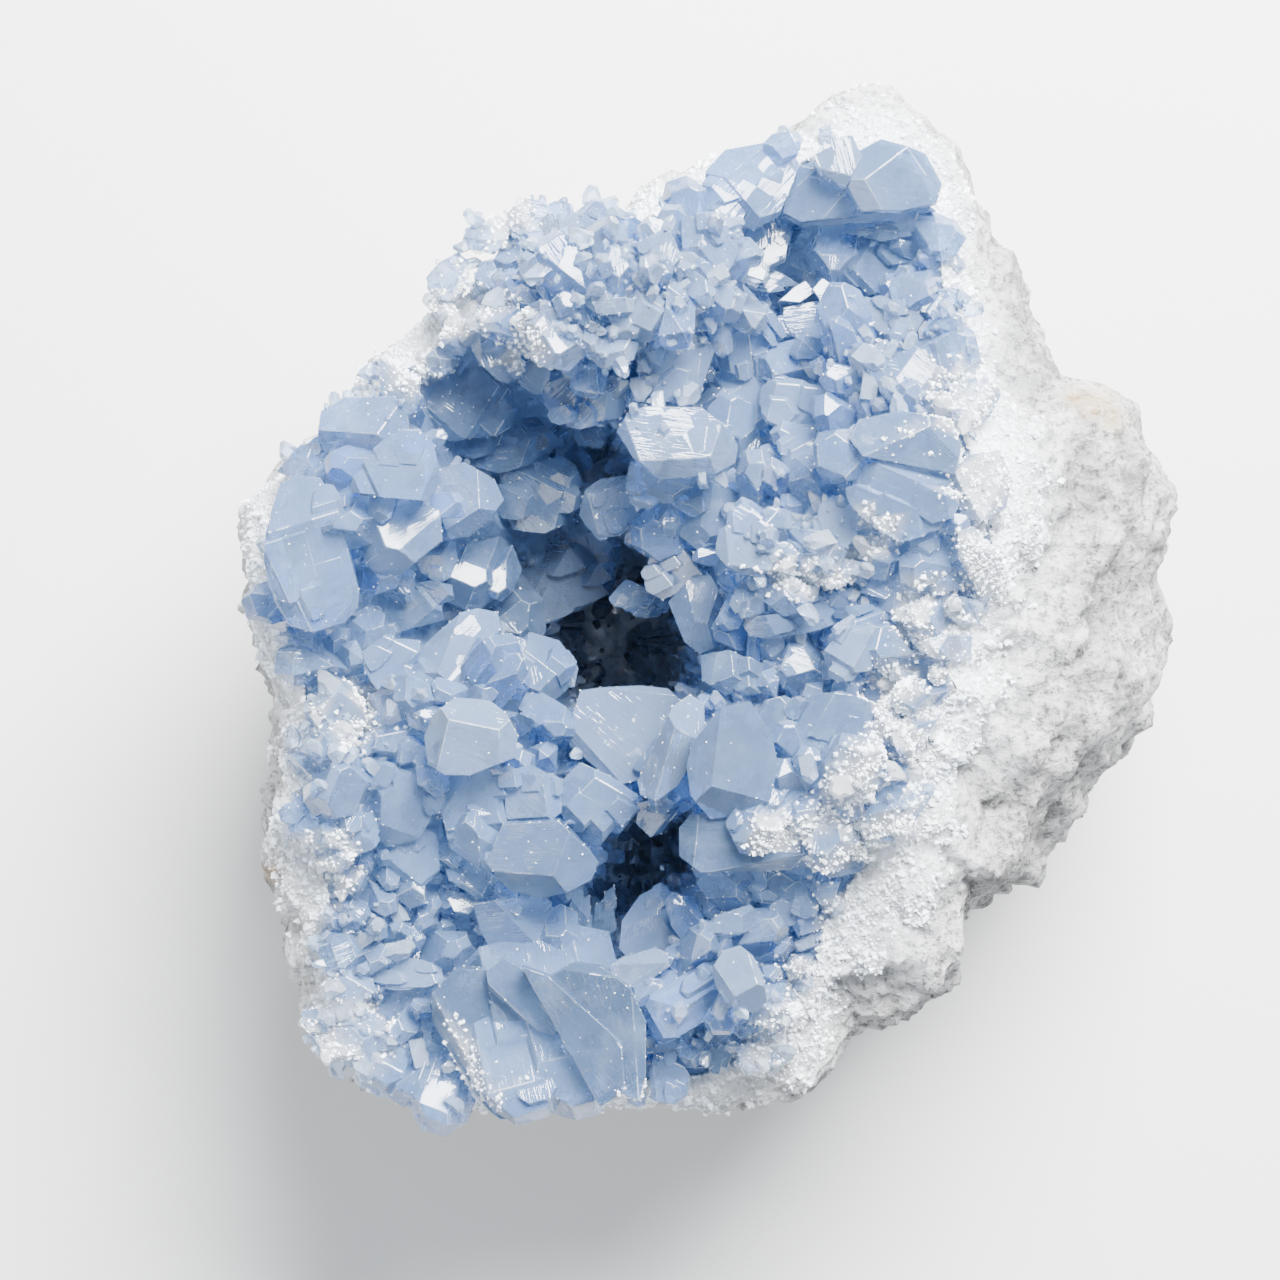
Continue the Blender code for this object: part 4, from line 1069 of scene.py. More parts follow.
def in_pit(place):
    return any(
        (place - plan(px, py, PIT_LEVEL)).length < radius * PIT_MOUTH
        for px, py, radius, _ in PITS
    )


def filler_crystals(taken, chance, mound, bed, label):
    """Crystals over the rest of the bed, kept apart from each other and from those taken."""
    centre = plan(*MOUND_PX, MOUND_LEVEL)
    for number in range(mound[0] + bed[0]):
        on_mound = number < mound[0]
        spacing, widths = mound[1] if on_mound else bed[1]
        for _ in range(200):
            azimuth = chance.uniform(0, 360)
            out = math.sqrt(chance.uniform(0.01, 1))
            if on_mound:
                place = centre + direction(azimuth) * MOUND_RADIUS * out
            else:
                radius = lip_at(azimuth)[0] * 0.97
                place = HOLLOW_AXIS + direction(azimuth) * radius * out
            clear = all((place - other).length > spacing for other in taken)
            if clear and not in_pit(place) and not has_portrait(place):
                break
        else:
            continue
        taken.append(place)
        width = chance.uniform(*widths)
        sizes = (width * 1.5, width, width * chance.uniform(0.65, 0.9))
        falls, tilt = bed_slope(place)
        turn = rooted(
            lambda z, place=place: place,
            falls + chance.uniform(-50, 50),
            min(60, tilt * 0.8 + chance.uniform(5, 30)),
            sizes,
            0,
        )
        roll = Matrix.Rotation(chance.uniform(0, math.pi), 4, "Z")
        yield f"{label}_{number}", turn @ roll, sizes, chance


def companions(sizes, chance):
    """Smaller crystals grown on a big one, in parallel with it: their offsets and sizes."""
    length, width, thickness = sizes
    for _ in range(0 if width < SMALL else 2 if width < 12 else 4):
        part = chance.uniform(0.4, 0.7)
        across = chance.choice((-1, 1)) * chance.uniform(0.15, 0.42) * width
        out = chance.uniform(0.05, 0.5 - 0.35 * part) * thickness
        along = chance.uniform(-0.2, 0.42 - 0.45 * part) * length
        sizes = (length * part * 1.1, width * part, thickness * part)
        yield Vector((across, out, along)), sizes


def add_object(name, data, collection=None):
    made = bpy.data.objects.new(name, data)
    (collection or bpy.context.scene.collection).objects.link(made)
    return made


def main_body_only(data):
    """Leaves the largest connected piece of the mesh, without chips that a cut left."""
    mesh = bmesh.new()
    mesh.from_mesh(data)
    unseen = set(mesh.verts)
    bodies = []
    while unseen:
        todo = [unseen.pop()]
        body = set(todo)
        while todo:
            vert = todo.pop()
            for edge in vert.link_edges:
                other = edge.other_vert(vert)
                if other in unseen:
                    unseen.discard(other)
                    body.add(other)
                    todo.append(other)
        bodies.append(body)
    bodies.sort(key=len, reverse=True)
    chips = [vert for body in bodies[1:] for vert in body]
    bmesh.ops.delete(mesh, geom=chips, context="VERTS")
    mesh.to_mesh(data)
    mesh.free()


def keep_in_box(data):
    """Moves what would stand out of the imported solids' box back onto its sides."""
    low, high = CAD_BOX
    for vert in data.vertices:
        vert.co = [min(max(c, a), b) for c, a, b in zip(vert.co, low, high)]


def settled(made):
    """Turns the object's evaluated result into its plain mesh, with no modifier left."""
    graph = bpy.context.evaluated_depsgraph_get()
    data = bpy.data.meshes.new_from_object(made.evaluated_get(graph))
    made.modifiers.clear()
    made.data = data
    keep_in_box(data)
    return made


def feed(node, inputs):
    """Sets the node's inputs, or links them where the value is another node's output."""
    for key, value in dict(inputs).items():
        if isinstance(value, bpy.types.NodeSocket):
            node.id_data.links.new(value, node.inputs[key])
        else:
            node.inputs[key].default_value = value
    return node


def add_node(tree, kind, inputs=(), **settings):
    made = tree.nodes.new(kind)
    for key, value in settings.items():
        setattr(made, key, value)
    return feed(made, inputs)


def new_material(name):
    """A material, its Principled shader and a short way to add nodes."""
    material = bpy.data.materials.new(name)
    material.use_nodes = True
    tree = material.node_tree
    return material, tree.nodes["Principled BSDF"], partial(add_node, tree)


def attribute(add, name):
    return add("ShaderNodeAttribute", attribute_name=name).outputs["Fac"]


def reckoned(add, operation, *values, kind="ShaderNodeMath"):
    """What the operation makes of the numbers or outputs, or of vectors where kind says so."""
    return add(kind, enumerate(values), operation=operation).outputs[0]


def ranged(add, value, low, high, start=0.0, end=1.0):
    """The value's span from low to high, spread over start to end."""
    ends = {"From Min": low, "From Max": high, "To Min": start, "To Max": end}
    return add("ShaderNodeMapRange", {"Value": value, **ends}).outputs["Result"]


def layered(add, body, *layers):
    """The colour with each (amount, colour) of the layers laid over it in turn."""
    for amount, colour in layers:
        mix = {0: amount, 7: (*colour, 1)}
        mix[6] = body if isinstance(body, bpy.types.NodeSocket) else (*body, 1)
        body = add("ShaderNodeMix", mix, data_type="RGBA").outputs[2]
    return body


def texture(add, kind, place, scale, **values):
    inputs = {name.capitalize(): value for name, value in values.items()}
    if place is not None:
        inputs["Vector"] = place
    return add(f"ShaderNodeTex{kind}", {"Scale": scale, **inputs}).outputs


def celestite_material(sizes):
    """Milky blue crystal: clear in its depth, paler in veils, frosted along its rubbed, bevelled
    edges, whose pale colour is partly a painted edge glow.
    """
    material, surface, add = new_material("blue celestite")
    place = add("ShaderNodeTexCoord").outputs["Object"]
    height = add("ShaderNodeSeparateXYZ", {0: place}).outputs["Z"]
    blue = attribute(add, "blue")
    veils = texture(add, "Noise", place, VEILS, detail=3, roughness=0.6)["Fac"]
    mosaic = texture(add, "Voronoi", place, FACETS)["Color"]
    patches = ranged(add, mosaic, 0.4, 0.8, 0.08, 1)
    # The bevelled edges: frost, and partly a painted edge glow
    worn_and_glowing = reckoned(add, "MULTIPLY", attribute(add, "frost"), patches)
    crust = ranged(add, attribute(add, "sugared"), 0.05, 0.7, 0, 0.9)
    body = layered(
        add,
        sizes.pale,
        (blue, sizes.deep),
        # The deep blue is partly painted shade where it is given to the recess
        (ranged(add, blue, 0, -1), sizes.chip),
        # Painted shade: the crystals darken to slate low in the hollow
        (ranged(add, height, *HOLLOW_SHADE_HEIGHTS, 0, 0.9), sizes.slate),
        (ranged(add, veils, 0.47, 0.72, 0, 0.55), sizes.veil),
        # Frost and painted edge glow on the bevelled edges
        (worn_and_glowing, sizes.frost),
        (crust, sizes.crust),
    )
    rough = reckoned(add, "MULTIPLY_ADD", worn_and_glowing, 0.3, ranged(add, veils, 0.4, 0.75, 0.06, 0.2))
    rough = reckoned(add, "MULTIPLY_ADD", crust, 0.5, rough)
    growth = add("ShaderNodeUVMap", uv_map="growth").outputs["UV"]
    lines = add("ShaderNodeMapping", {"Vector": growth, "Scale": RIBS_STRETCH})
    striae = texture(add, "Noise", lines.outputs["Vector"], 1.6, detail=2, roughness=0.7)
    ribs = {"Strength": 0.3, "Distance": RIB_RISE * MM, "Height": striae["Fac"]}
    ribbed = add("ShaderNodeBump", ribs).outputs["Normal"]
    reckon = partial(reckoned, add, kind="ShaderNodeVectorMath")
    centred = {0: reckon("SUBTRACT", mosaic, (0.5, 0.5, 0.5)), "Scale": FACET_TILT}
    tilt = add("ShaderNodeVectorMath", centred, operation="SCALE").outputs[0]
    feed(
        surface,
        {
            "Base Color": body,
            "Roughness": rough,
            "Normal": reckon("NORMALIZE", reckon("ADD", ribbed, tilt)),
            "Transmission Weight": sizes.clear,
            "IOR": CELESTITE_IOR,
        },
    )
    absorbed = {"Color": (*sizes.absorb, 1), "Density": sizes.density}
    depth = add("ShaderNodeVolumeAbsorption", absorbed).outputs["Volume"]
    feed(material.node_tree.nodes["Material Output"], {"Volume": depth})
    return material


def limestone_material(sizes):
    """Broken limestone: grey-white and grainy, chalky along the rim, darker in its pits with
    painted shade.
    """
    material, surface, add = new_material("broken limestone")
    place = add("ShaderNodeTexCoord").outputs["Object"]
    powder = attribute(add, "powder")
    clouds = texture(add, "Noise", place, CLOUDS, detail=8, roughness=0.72)["Fac"]
    grain = texture(add, "Noise", place, GRAIN, detail=5, roughness=0.75)["Fac"]
    crumbs = texture(add, "Voronoi", place, CRUMBS)["Distance"]
    bare = ranged(add, powder, 0.2, 1, 1, 0.25)
    specks = reckoned(add, "MULTIPLY", ranged(add, grain, 0.5, 0.62, 0, 0.85), bare)
    body = layered(
        add,
        sizes.grey,
        (ranged(add, clouds, 0.4, 0.56), sizes.white),
        # Painted shade: darker where the rock's surface sinks in
        (ranged(add, attribute(add, "hollow"), 0, 1, 0, 0.6), sizes.pit),
        (powder, sizes.powder),
        (specks, sizes.speck),
        (attribute(add, "ochre"), sizes.ochre),
    )
    coarse = {"Strength": 0.8, "Distance": CRUMB_RISE * MM, "Height": crumbs}
    crumbled = add("ShaderNodeBump", coarse).outputs["Normal"]
    fine = {"Strength": 0.9, "Distance": GRAIN_RISE * MM, "Height": grain, "Normal": crumbled}
    grainy = add("ShaderNodeBump", fine).outputs["Normal"]
    looks = {"Base Color": body, "Roughness": 0.92, "Specular IOR Level": 0.3, "Normal": grainy}
    feed(surface, looks)
    return material


def sugar_material(sizes):
    """The fine white crystals along the rim: bright and a little glossy."""
    material, surface, add = new_material("white sugar")
    place = add("ShaderNodeTexCoord").outputs["Object"]
    clouds = texture(add, "Noise", place, SUGAR_CLOUDS, detail=2)["Fac"]
    body = layered(add, sizes.white, (ranged(add, clouds, 0.35, 0.65), sizes.bluish))
    feed(surface, {"Base Color": body, "Roughness": 0.3, "IOR": 1.5})
    return material


def floor_material(colour):
    material, surface, _ = new_material("pale floor")
    feed(surface, {"Base Color": (*colour, 1), "Roughness": 0.6})
    return material


def new_tree(name, inputs):
    """A Geometry Nodes tree with its named inputs, and a short way to add nodes."""
    tree = bpy.data.node_groups.new(name, "GeometryNodeTree")
    face = tree.interface
    face.new_socket("Geometry", in_out="INPUT", socket_type="NodeSocketGeometry")
    for label, kind in inputs:
        face.new_socket(label, in_out="INPUT", socket_type=f"NodeSocket{kind}")
    face.new_socket("Geometry", in_out="OUTPUT", socket_type="NodeSocketGeometry")
    source = tree.nodes.new("NodeGroupInput")
    result = tree.nodes.new("NodeGroupOutput")
    return tree, source.outputs, result, partial(add_node, tree)


def tossed(add, low, high, seed):
    """A random vector between two others."""
    ends = {"Min": low, "Max": high, "Seed": seed}
    return add("FunctionNodeRandomValue", ends, data_type="FLOAT_VECTOR").outputs["Value"]


def tossed_share(add, seed):
    return add("FunctionNodeRandomValue", {"Seed": seed}, data_type="FLOAT").outputs[1]


def above(add, value, limit):
    """Whether the value is greater than the limit."""
    compared = {0: value, 1: limit}
    made = add("FunctionNodeCompare", compared, data_type="FLOAT", operation="GREATER_THAN")
    return made.outputs["Result"]


def strewn(add, surface, spacing, most, inputs):
    """Points over the surface, at least that far apart, with their normals."""
    made = add(
        "GeometryNodeDistributePointsOnFaces",
        {
            "Mesh": surface,
            "Distance Min": spacing,
            "Density Max": most,
            "Seed": SEED,
            **inputs,
        },
        distribute_method="POISSON",
    )
    return made.outputs


def grow_on(add, source, result, points, way, seed):
    """Ends a tree: a kind on each point, leaning a little off the way, as one coated mesh."""
    reach = (LEAN, LEAN, LEAN)
    lean = tossed(add, [-x for x in reach], reach, seed)
    leaning = reckoned(add, "ADD", way, lean, kind="ShaderNodeVectorMath")
    upright = add("FunctionNodeAlignRotationToVector", {"Vector": leaning}, axis="Z")
    skewed = reckoned(add, "POWER", tossed_share(add, seed + 1), SKEW)
    size = {"Value": skewed, "To Min": source["Smallest"], "To Max": source["Largest"]}
    kinds = {"Collection": source["Kinds"], "Separate Children": True, "Reset Children": True}
    placed = {
        "Points": points,
        "Instance": add("GeometryNodeCollectionInfo", kinds).outputs["Instances"],
        "Pick Instance": True,
        "Rotation": upright.outputs["Rotation"],
        "Scale": add("ShaderNodeMapRange", size).outputs["Result"],
    }
    turned = {
        "Instances": add("GeometryNodeInstanceOnPoints", placed).outputs["Instances"],
        "Rotation": tossed(add, (0, 0, 0), (0, 0, 2 * math.pi), seed + 2),
    }
    instances = add("GeometryNodeRotateInstances", turned).outputs["Instances"]
    solid = add("GeometryNodeRealizeInstances", {"Geometry": instances}).outputs["Geometry"]
    coat = {"Geometry": solid, "Material": source["Material"]}
    coated = add("GeometryNodeSetMaterial", coat).outputs["Geometry"]
    feed(result, {"Geometry": coated})


def seam_tree():
    """Small crystals along the seams where big ones meet, and on the bed left bare."""
    inputs = (
        ("Spacing", "Float"), ("Bed spacing", "Float"), ("Smallest", "Float"),
        ("Largest", "Float"), ("Share", "Float"), ("Kinds", "Collection"),
        ("Material", "Material"),
    )
    tree, source, result, add = new_tree("small crystals", inputs)
    normal = add("GeometryNodeInputNormal").outputs["Normal"]
    kept = add(
        "GeometryNodeStoreNamedAttribute",
        {"Geometry": source["Geometry"], "Name": "way", "Value": normal},
        data_type="FLOAT_VECTOR",
        domain="POINT",
    ).outputs["Geometry"]
    angle = add("GeometryNodeInputMeshEdgeAngle").outputs["Signed Angle"]
    split = {"Geometry": kept, "Selection": above(add, angle, SEAM_ANGLE)}
    seams = add("GeometryNodeSeparateGeometry", split, domain="EDGE").outputs["Selection"]
    lines = add("GeometryNodeMeshToCurve", {"Mesh": seams}).outputs["Curve"]
    spread = {"Curve": lines, "Length": source["Spacing"]}
    along = add("GeometryNodeCurveToPoints", spread, mode="LENGTH").outputs["Points"]
    bed = add("GeometryNodeInputNamedAttribute", {"Name": "bed"}, data_type="FLOAT").outputs[0]
    on_bed = {"Selection": above(add, bed, 0.5)}
    over = strewn(add, kept, source["Bed spacing"], BED_CROWD, on_bed)["Points"]
    both = add("GeometryNodeJoinGeometry", {"Geometry": along})
    feed(both, {"Geometry": over})
    patches = texture(add, "Noise", None, SHARE_PATCHES, detail=1)[0]
    odds = reckoned(add, "MULTIPLY", patches, source["Share"])
    lost = above(add, tossed_share(add, 5), odds)
    thinned = {"Geometry": both.outputs["Geometry"], "Selection": lost}
    fewer = add("GeometryNodeDeleteGeometry", thinned, domain="POINT").outputs["Geometry"]
    stray = tossed(add, (-STRAY,) * 3, (STRAY,) * 3, 6)
    strayed = add("GeometryNodeSetPosition", {"Geometry": fewer, "Offset": stray})
    way = add("GeometryNodeInputNamedAttribute", {"Name": "way"}, data_type="FLOAT_VECTOR")
    points = strayed.outputs["Geometry"]
    grow_on(add, source, result, points, way.outputs["Attribute"], 1)
    return tree


def scatter_tree(name):
    """Grains strewn over a surface, as densely as its named attribute says."""
    inputs = (
        ("Spacing", "Float"), ("Smallest", "Float"), ("Largest", "Float"),
        ("Where", "String"), ("Kinds", "Collection"), ("Material", "Material"),
    )
    tree, source, result, add = new_tree(name, inputs)
    named = {"Name": source["Where"]}
    where = add("GeometryNodeInputNamedAttribute", named, data_type="FLOAT").outputs[0]
    dense = {"Density Factor": where}
    over = strewn(add, source["Geometry"], source["Spacing"], GRAIN_CROWD, dense)
    grow_on(add, source, result, over["Points"], over["Normal"], 11)
    return tree


def grown_from(name, data, tree, values):
    """Runs a growing tree on the mesh and keeps what it makes as a plain mesh."""
    made = add_object(name, data)
    grow = made.modifiers.new("Grow", "NODES")
    grow.node_group = tree
    for socket in tree.interface.items_tree:
        if socket.in_out == "INPUT" and socket.name in values:
            grow[socket.identifier] = values[socket.name]
    return settled(made)


def grain_kinds(name, count):
    """A collection of angular grains, one millimetre across."""
    kinds = bpy.data.collections.new(name)
    bpy.context.scene.collection.children.link(kinds)
    for number in range(count):
        chance = random.Random(f"{name} {number}")
        mesh = bmesh.new()
        for axis in range(3):
            for sign in (-1, 1):
                at = Vector([chance.uniform(-0.16, 0.16) for _ in range(3)])
                at[axis] = sign * chance.uniform(0.35, 0.6)
                mesh.verts.new(at * MM)
        bmesh.ops.convex_hull(mesh, input=mesh.verts[:])
        add_object(f"{name}_{number}", named_mesh(f"{name}_{number}", mesh, []), kinds)
    return kinds


def crystal_kinds(name, count, length, blue):
    """A collection of small crystals, one millimetre wide, that stand on the origin."""
    kinds = bpy.data.collections.new(name)
    bpy.context.scene.collection.children.link(kinds)
    for number in range(count):
        chance = random.Random(f"{name} {number}")
        sizes = (length, 1, chance.uniform(0.6, 0.9))
        data = crystal_mesh(f"{name}_{number}", sizes, chance, blue, 0, [])
        data.transform(Matrix.Translation(Vector((0, 0, length * 0.28 * MM))))
        # A quarter of the frost and painted edge glow, all over the small crystals
        float_attribute(data, "frost", [0.25] * len(data.polygons), "FACE")
        add_object(data.name, data, kinds)
    return kinds


def put_away(kinds):
    for helper in kinds.objects[:]:
        bpy.data.objects.remove(helper)
    bpy.data.collections.remove(kinds)


def grow_piece(name, ground, tree, kinds, material, spacing, sizes, **more):
    """Grows a piece of the kinds over the ground, and sets its body."""
    values = {
        "Spacing": spacing * MM,
        "Smallest": sizes[0],
        "Largest": sizes[1],
        "Kinds": kinds,
        "Material": material,
        **more,
    }
    made = grown_from(name, ground.data.copy(), tree, values)
    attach(made, "root")


def build_small_crystals(sizes, cluster, celestite):
    """The druse: small crystals that crowd the seams of the big ones and the bare bed."""
    kinds = crystal_kinds("small_kind", 6, 1.5, -0.6)
    widths = (sizes.smallest, sizes.largest)
    more = {"Bed spacing": sizes.bed_spacing * MM, "Share": sizes.share}
    tree = seam_tree()
    spacing = sizes.seam_spacing
    grow_piece("small_crystals", cluster, tree, kinds, celestite, spacing, widths, **more)
    put_away(kinds)


def build_chips(sizes, cluster, celestite):
    """Chips of crystal that crowd the mound and lie thinly over the rest."""
    kinds = crystal_kinds("chip_kind", 6, 1.2, -1)
    widths = (sizes.smallest, sizes.largest_chip)
    more = {"Where": "chipped"}
    tree = scatter_tree("strewn chips")
    spacing = sizes.chip_spacing
    grow_piece("crystal_chips", cluster, tree, kinds, celestite, spacing, widths, **more)
    put_away(kinds)


def build_sugar(sizes, rock, cluster):
    """The fine white sugar: on the rock's rim, and as bright dust on the crystals."""
    kinds = grain_kinds("grain_kind", 5)
    sugar = sugar_material(sizes)
    tree = scatter_tree("strewn grains")
    for name, ground, where, spacing, widths in (
        ("rim_sugar", rock, "sugared", sizes.rim_spacing, (0.3, 1.5)),
        ("crust_sugar", cluster, "sugared", sizes.crust_spacing, (0.2, 1)),
        ("crystal_dust", cluster, "dusty", sizes.dust_spacing, (0.08, 0.34)),
    ):
        grow_piece(name, ground, tree, kinds, sugar, spacing, widths, Where=where)
    put_away(kinds)


def float_attribute(data, name, values, domain="POINT"):
    layer = data.attributes.new(name, "FLOAT", domain)
    layer.data.foreach_set("value", values)


def build_rock(sizes):
    """The lump of limestone, with its lumps, ledges, pits and grain in the mesh."""
    mesh = bmesh.new()
    columns = sizes.columns
    marked = [rind_section(360 * k / columns, sizes.steps) for k in range(columns)]
    sections = [[mark[0] for mark in section] for section in marked]
    first = REST_CENTRE.to_3d()
    last = Vector((*HOLLOW_AXIS, bed_underside(HOLLOW_AXIS)))
    turned_skin(mesh, sections, first, last)
    for face in mesh.faces:
        face.smooth = True
    data = named_mesh("rock_shell", mesh, [limestone_material(sizes)])
    keep_in_box(data)
    flat = [mark for section in marked for mark in section]
    float_attribute(data, "powder", [powder for _, powder, _, _ in flat] + [0, 1])
    sugared = []
    for point, _, _, rim in flat:
        patch = noise.fractal(point / 6, 0.6, 2.0, 2)
        sugared.append(clamped((rim - 0.45 + 0.35 * patch) / 0.4))
    float_attribute(data, "sugared", sugared + [0, 0])
    # Where the surface sinks in, for the painted shade in the rock's pits
    float_attribute(data, "hollow", [clamped((-0.2 - push) / 3) for _, _, push, _ in flat] + [0, 0])
    float_attribute(data, "ochre", [stain_at(point) for point, _, _, _ in flat] + [0, 0])
    made = add_object("rock_shell", data)
    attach(made, "root")
    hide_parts("host_rock")


def stain_at(point):
    stain = 0
    for px, py, radius in STAINS:
        away = (point.xy - plan(px, py, point.z)).length / radius
        away += 0.5 * noise.noise(point / 1.4)
        stain = max(stain, 0.75 * bell(away) if point.z > STAIN_FROM else 0)
    return stain


def build_crystals(sizes):
    """The bed and every crystal fused in one body, with frost and a painted edge glow marked on the
    rubbed edges.
    """
    materials = [celestite_material(sizes), bpy.data.materials.new("worn edge")]
    mesh = bmesh.new()
    shares = [0.985 - 0.975 * k / sizes.bed_rows for k in range(sizes.bed_rows)]
    columns = sizes.bed_columns
    sections = [bed_section(360 * k / columns, shares) for k in range(columns)]
    first = Vector((*HOLLOW_AXIS, bed_underside(HOLLOW_AXIS) - BED_BITE))
    last = Vector((*HOLLOW_AXIS, bed_height(HOLLOW_AXIS)))
    turned_skin(mesh, sections, first, last)
    is_bed = mesh.faces.layers.float.new("bed")
    for face in mesh.faces:
        face[is_bed] = 1
    mark_growth(mesh, 0.6, Vector(), Vector((0, 0, 1)))
    tone = mesh.faces.layers.float["blue"]
    for face in mesh.faces:
        face[tone] = blue_near(face.calc_center_median().xy / MM) - 0.15
    body = add_object("crystal_cluster", named_mesh("bed", mesh, materials))
    grown = bpy.data.collections.new("grown_crystals")
    bpy.context.scene.collection.children.link(grown)
    taken = []
    for group, rows in PORTRAITS.items():
        for number, row in enumerate(rows):
            seed = f"{group} portrait {number}"
            height = portrait_height(row)
            family = [(row, height)]
            if len(row) == 3:
                family.extend(parallel_growth(row, height, random.Random(f"{seed} parallel")))
            for k, (member, level) in enumerate(family):
                chance = random.Random(seed)
                name = f"{group}_{number}_{k}"
                data = portrait_mesh(name, member, level, chance, sizes.worn_and_glowing, materials)
                add_object(data.name, data, grown)
    batches = [named_crystals()]
    for seed, mound, bed, label in (
        (SEED, (MOUND_FILLERS, MOUND_GRAIN), (BED_FILLERS, BED_GRAIN), "filler"),
        (
            SEED + 1,
            (FINE_MOUND_FILLERS, FINE_MOUND_GRAIN),
            (FINE_BED_FILLERS, FINE_BED_GRAIN),
            "fine",
        ),
    ):
        batches.append(filler_crystals(taken, random.Random(seed), mound, bed, label))
    for number, batch in enumerate(batches):
        for name, turn, block, chance in batch:
            if number == 0:
                if has_portrait(turn.translation.xy / MM):
                    continue
                taken.append(turn.translation.xy / MM)
            group = name.rsplit("_", 1)[0]
            tint = random.Random(name)
            blue = DEPTH_OF_BLUE.get(group, blue_near(turn.translation.xy / MM))
            blue = clamped(blue + tint.uniform(-0.14, 0.14))
            bevel = sizes.worn_and_glowing * min(1, block[1] / 6)
            data = crystal_mesh(name, block, chance, blue, bevel, materials)
            add_object(name, data, grown).matrix_world = turn
            for k, (offset, smaller) in enumerate(companions(block, tint)):
                data = crystal_mesh(f"{name}_{k}", smaller, tint, blue, bevel, materials)
                made = add_object(f"{name}_{k}", data, grown)
                made.matrix_world = turn @ Matrix.Translation(offset * MM)
    join = body.modifiers.new("Union", "BOOLEAN")
    join.operation = "UNION"
    join.operand_type = "COLLECTION"
    join.collection = grown
    join.solver = "MANIFOLD"
    settled(body)
    for helper in grown.objects[:]:
        bpy.data.objects.remove(helper)
    bpy.data.collections.remove(grown)
    main_body_only(body.data)
    data = body.data
    # The bevelled faces become the mask for the frost and the painted edge glow
    frost = [float(face.material_index) for face in data.polygons]
    for face in data.polygons:
        face.material_index = 0
    float_attribute(data, "frost", frost, "FACE")
    for name, thickness in (("dusty", dust_at), ("chipped", chips_at), ("sugared", sugar_at)):
        float_attribute(data, name, [thickness(vert.co / MM) for vert in data.vertices])
    data.materials.pop()
    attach(body, "root")
    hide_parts("celestite_crystals")


def dust_at(point):
    """How thickly bright dust lies on the crystals there."""
    patch = noise.fractal(point / 7, 0.6, 2.0, 3)
    return min(1, max(0.12, 0.3 + 1.2 * patch)) if point.z > DUST_FROM else 0


def chips_at(point):
    """How thickly chips lie there: most on the mound and on the other pale knobs."""
    if point.z < CHIPS_FROM or in_pit(point.xy):
        return 0
    thick = 0
    for px, py, radius, most in CHIPPED:
        away = (point.xy - plan(px, py, point.z)).length / radius
        thick = max(thick, most * (1 - smooth(0.75, 1.2, away)))
    patch = noise.fractal(point / 6, 0.6, 2.0, 3)
    if has_portrait(point.xy):
        return clamped(0.6 * thick + 0.5 * patch) if thick else 0
    return clamped(max(thick + 0.4 * patch, 0.4 * patch - 0.07))


def sugar_at(point):
    """How thickly white sugar lies on the crystals there."""
    if point.z < SUGAR_FROM:
        return 0
    thick = 0
    for px, py, radius in SUGARED:
        away = (point.xy - plan(px, py, point.z)).length / radius
        thick = max(thick, 1 - smooth(0.3, 1.3, away))
    patch = noise.fractal(point / 3, 0.7, 2.0, 3)
    return clamped(3 * thick * (0.25 + 1.3 * patch))


def blue_near(place):
    """The depth of blue of a crystal there, after the named groups around it."""
    total, weight = 0, 0
    for group, rows in CRYSTALS.items():
        for px, py, *_ in rows:
            near = 1 / (4 + (place - plan(px, py, BED_LEVEL)).length ** 2)
            total += DEPTH_OF_BLUE[group] * near
            weight += near
    return total / weight


def colour_prop(name, description, default):
    """A colour that a user may change."""
    return FloatVectorProperty(
        name=name, description=description, default=default, subtype="COLOR", min=0, max=1
    )


def factor_prop(name, description, default):
    """A share, from 0 to 1, that a user may change."""
    return FloatProperty(
        name=name, description=description, default=default, subtype="FACTOR", min=0, max=1
    )


def width_prop(name, description, default):
    """A size in millimetres that a user may change."""
    return FloatProperty(name=name, description=description, default=default, min=0.05)


def power_prop(name, description, default):
    """A light's power that a user may change."""
    return FloatProperty(name=name, description=description, default=default, unit="POWER")


def count_prop(name, description, default):
    """A number of points that a user may change."""
    return IntProperty(name=name, description=description, default=default, min=3)


class RockSizes(bpy.types.PropertyGroup):
    columns: count_prop("Columns", "Points round the lump", 500)
    steps: count_prop("Steps", "Rows between two named rows", 10)
    white: colour_prop("White", "The pale limestone", (0.66, 0.655, 0.66))
    grey: colour_prop("Grey", "Its darker clouds", (0.24, 0.24, 0.24))
    # The colour of the painted shade in the rock's pits
    pit: colour_prop("Pit", "Dust in its pits", (0.3, 0.29, 0.27))
    powder: colour_prop("Powder", "Chalk on the rim", (0.86, 0.88, 0.91))
    speck: colour_prop("Speck", "Dark specks", (0.1, 0.1, 0.1))
    ochre: colour_prop("Ochre", "Rusty stains", (0.5, 0.36, 0.2))


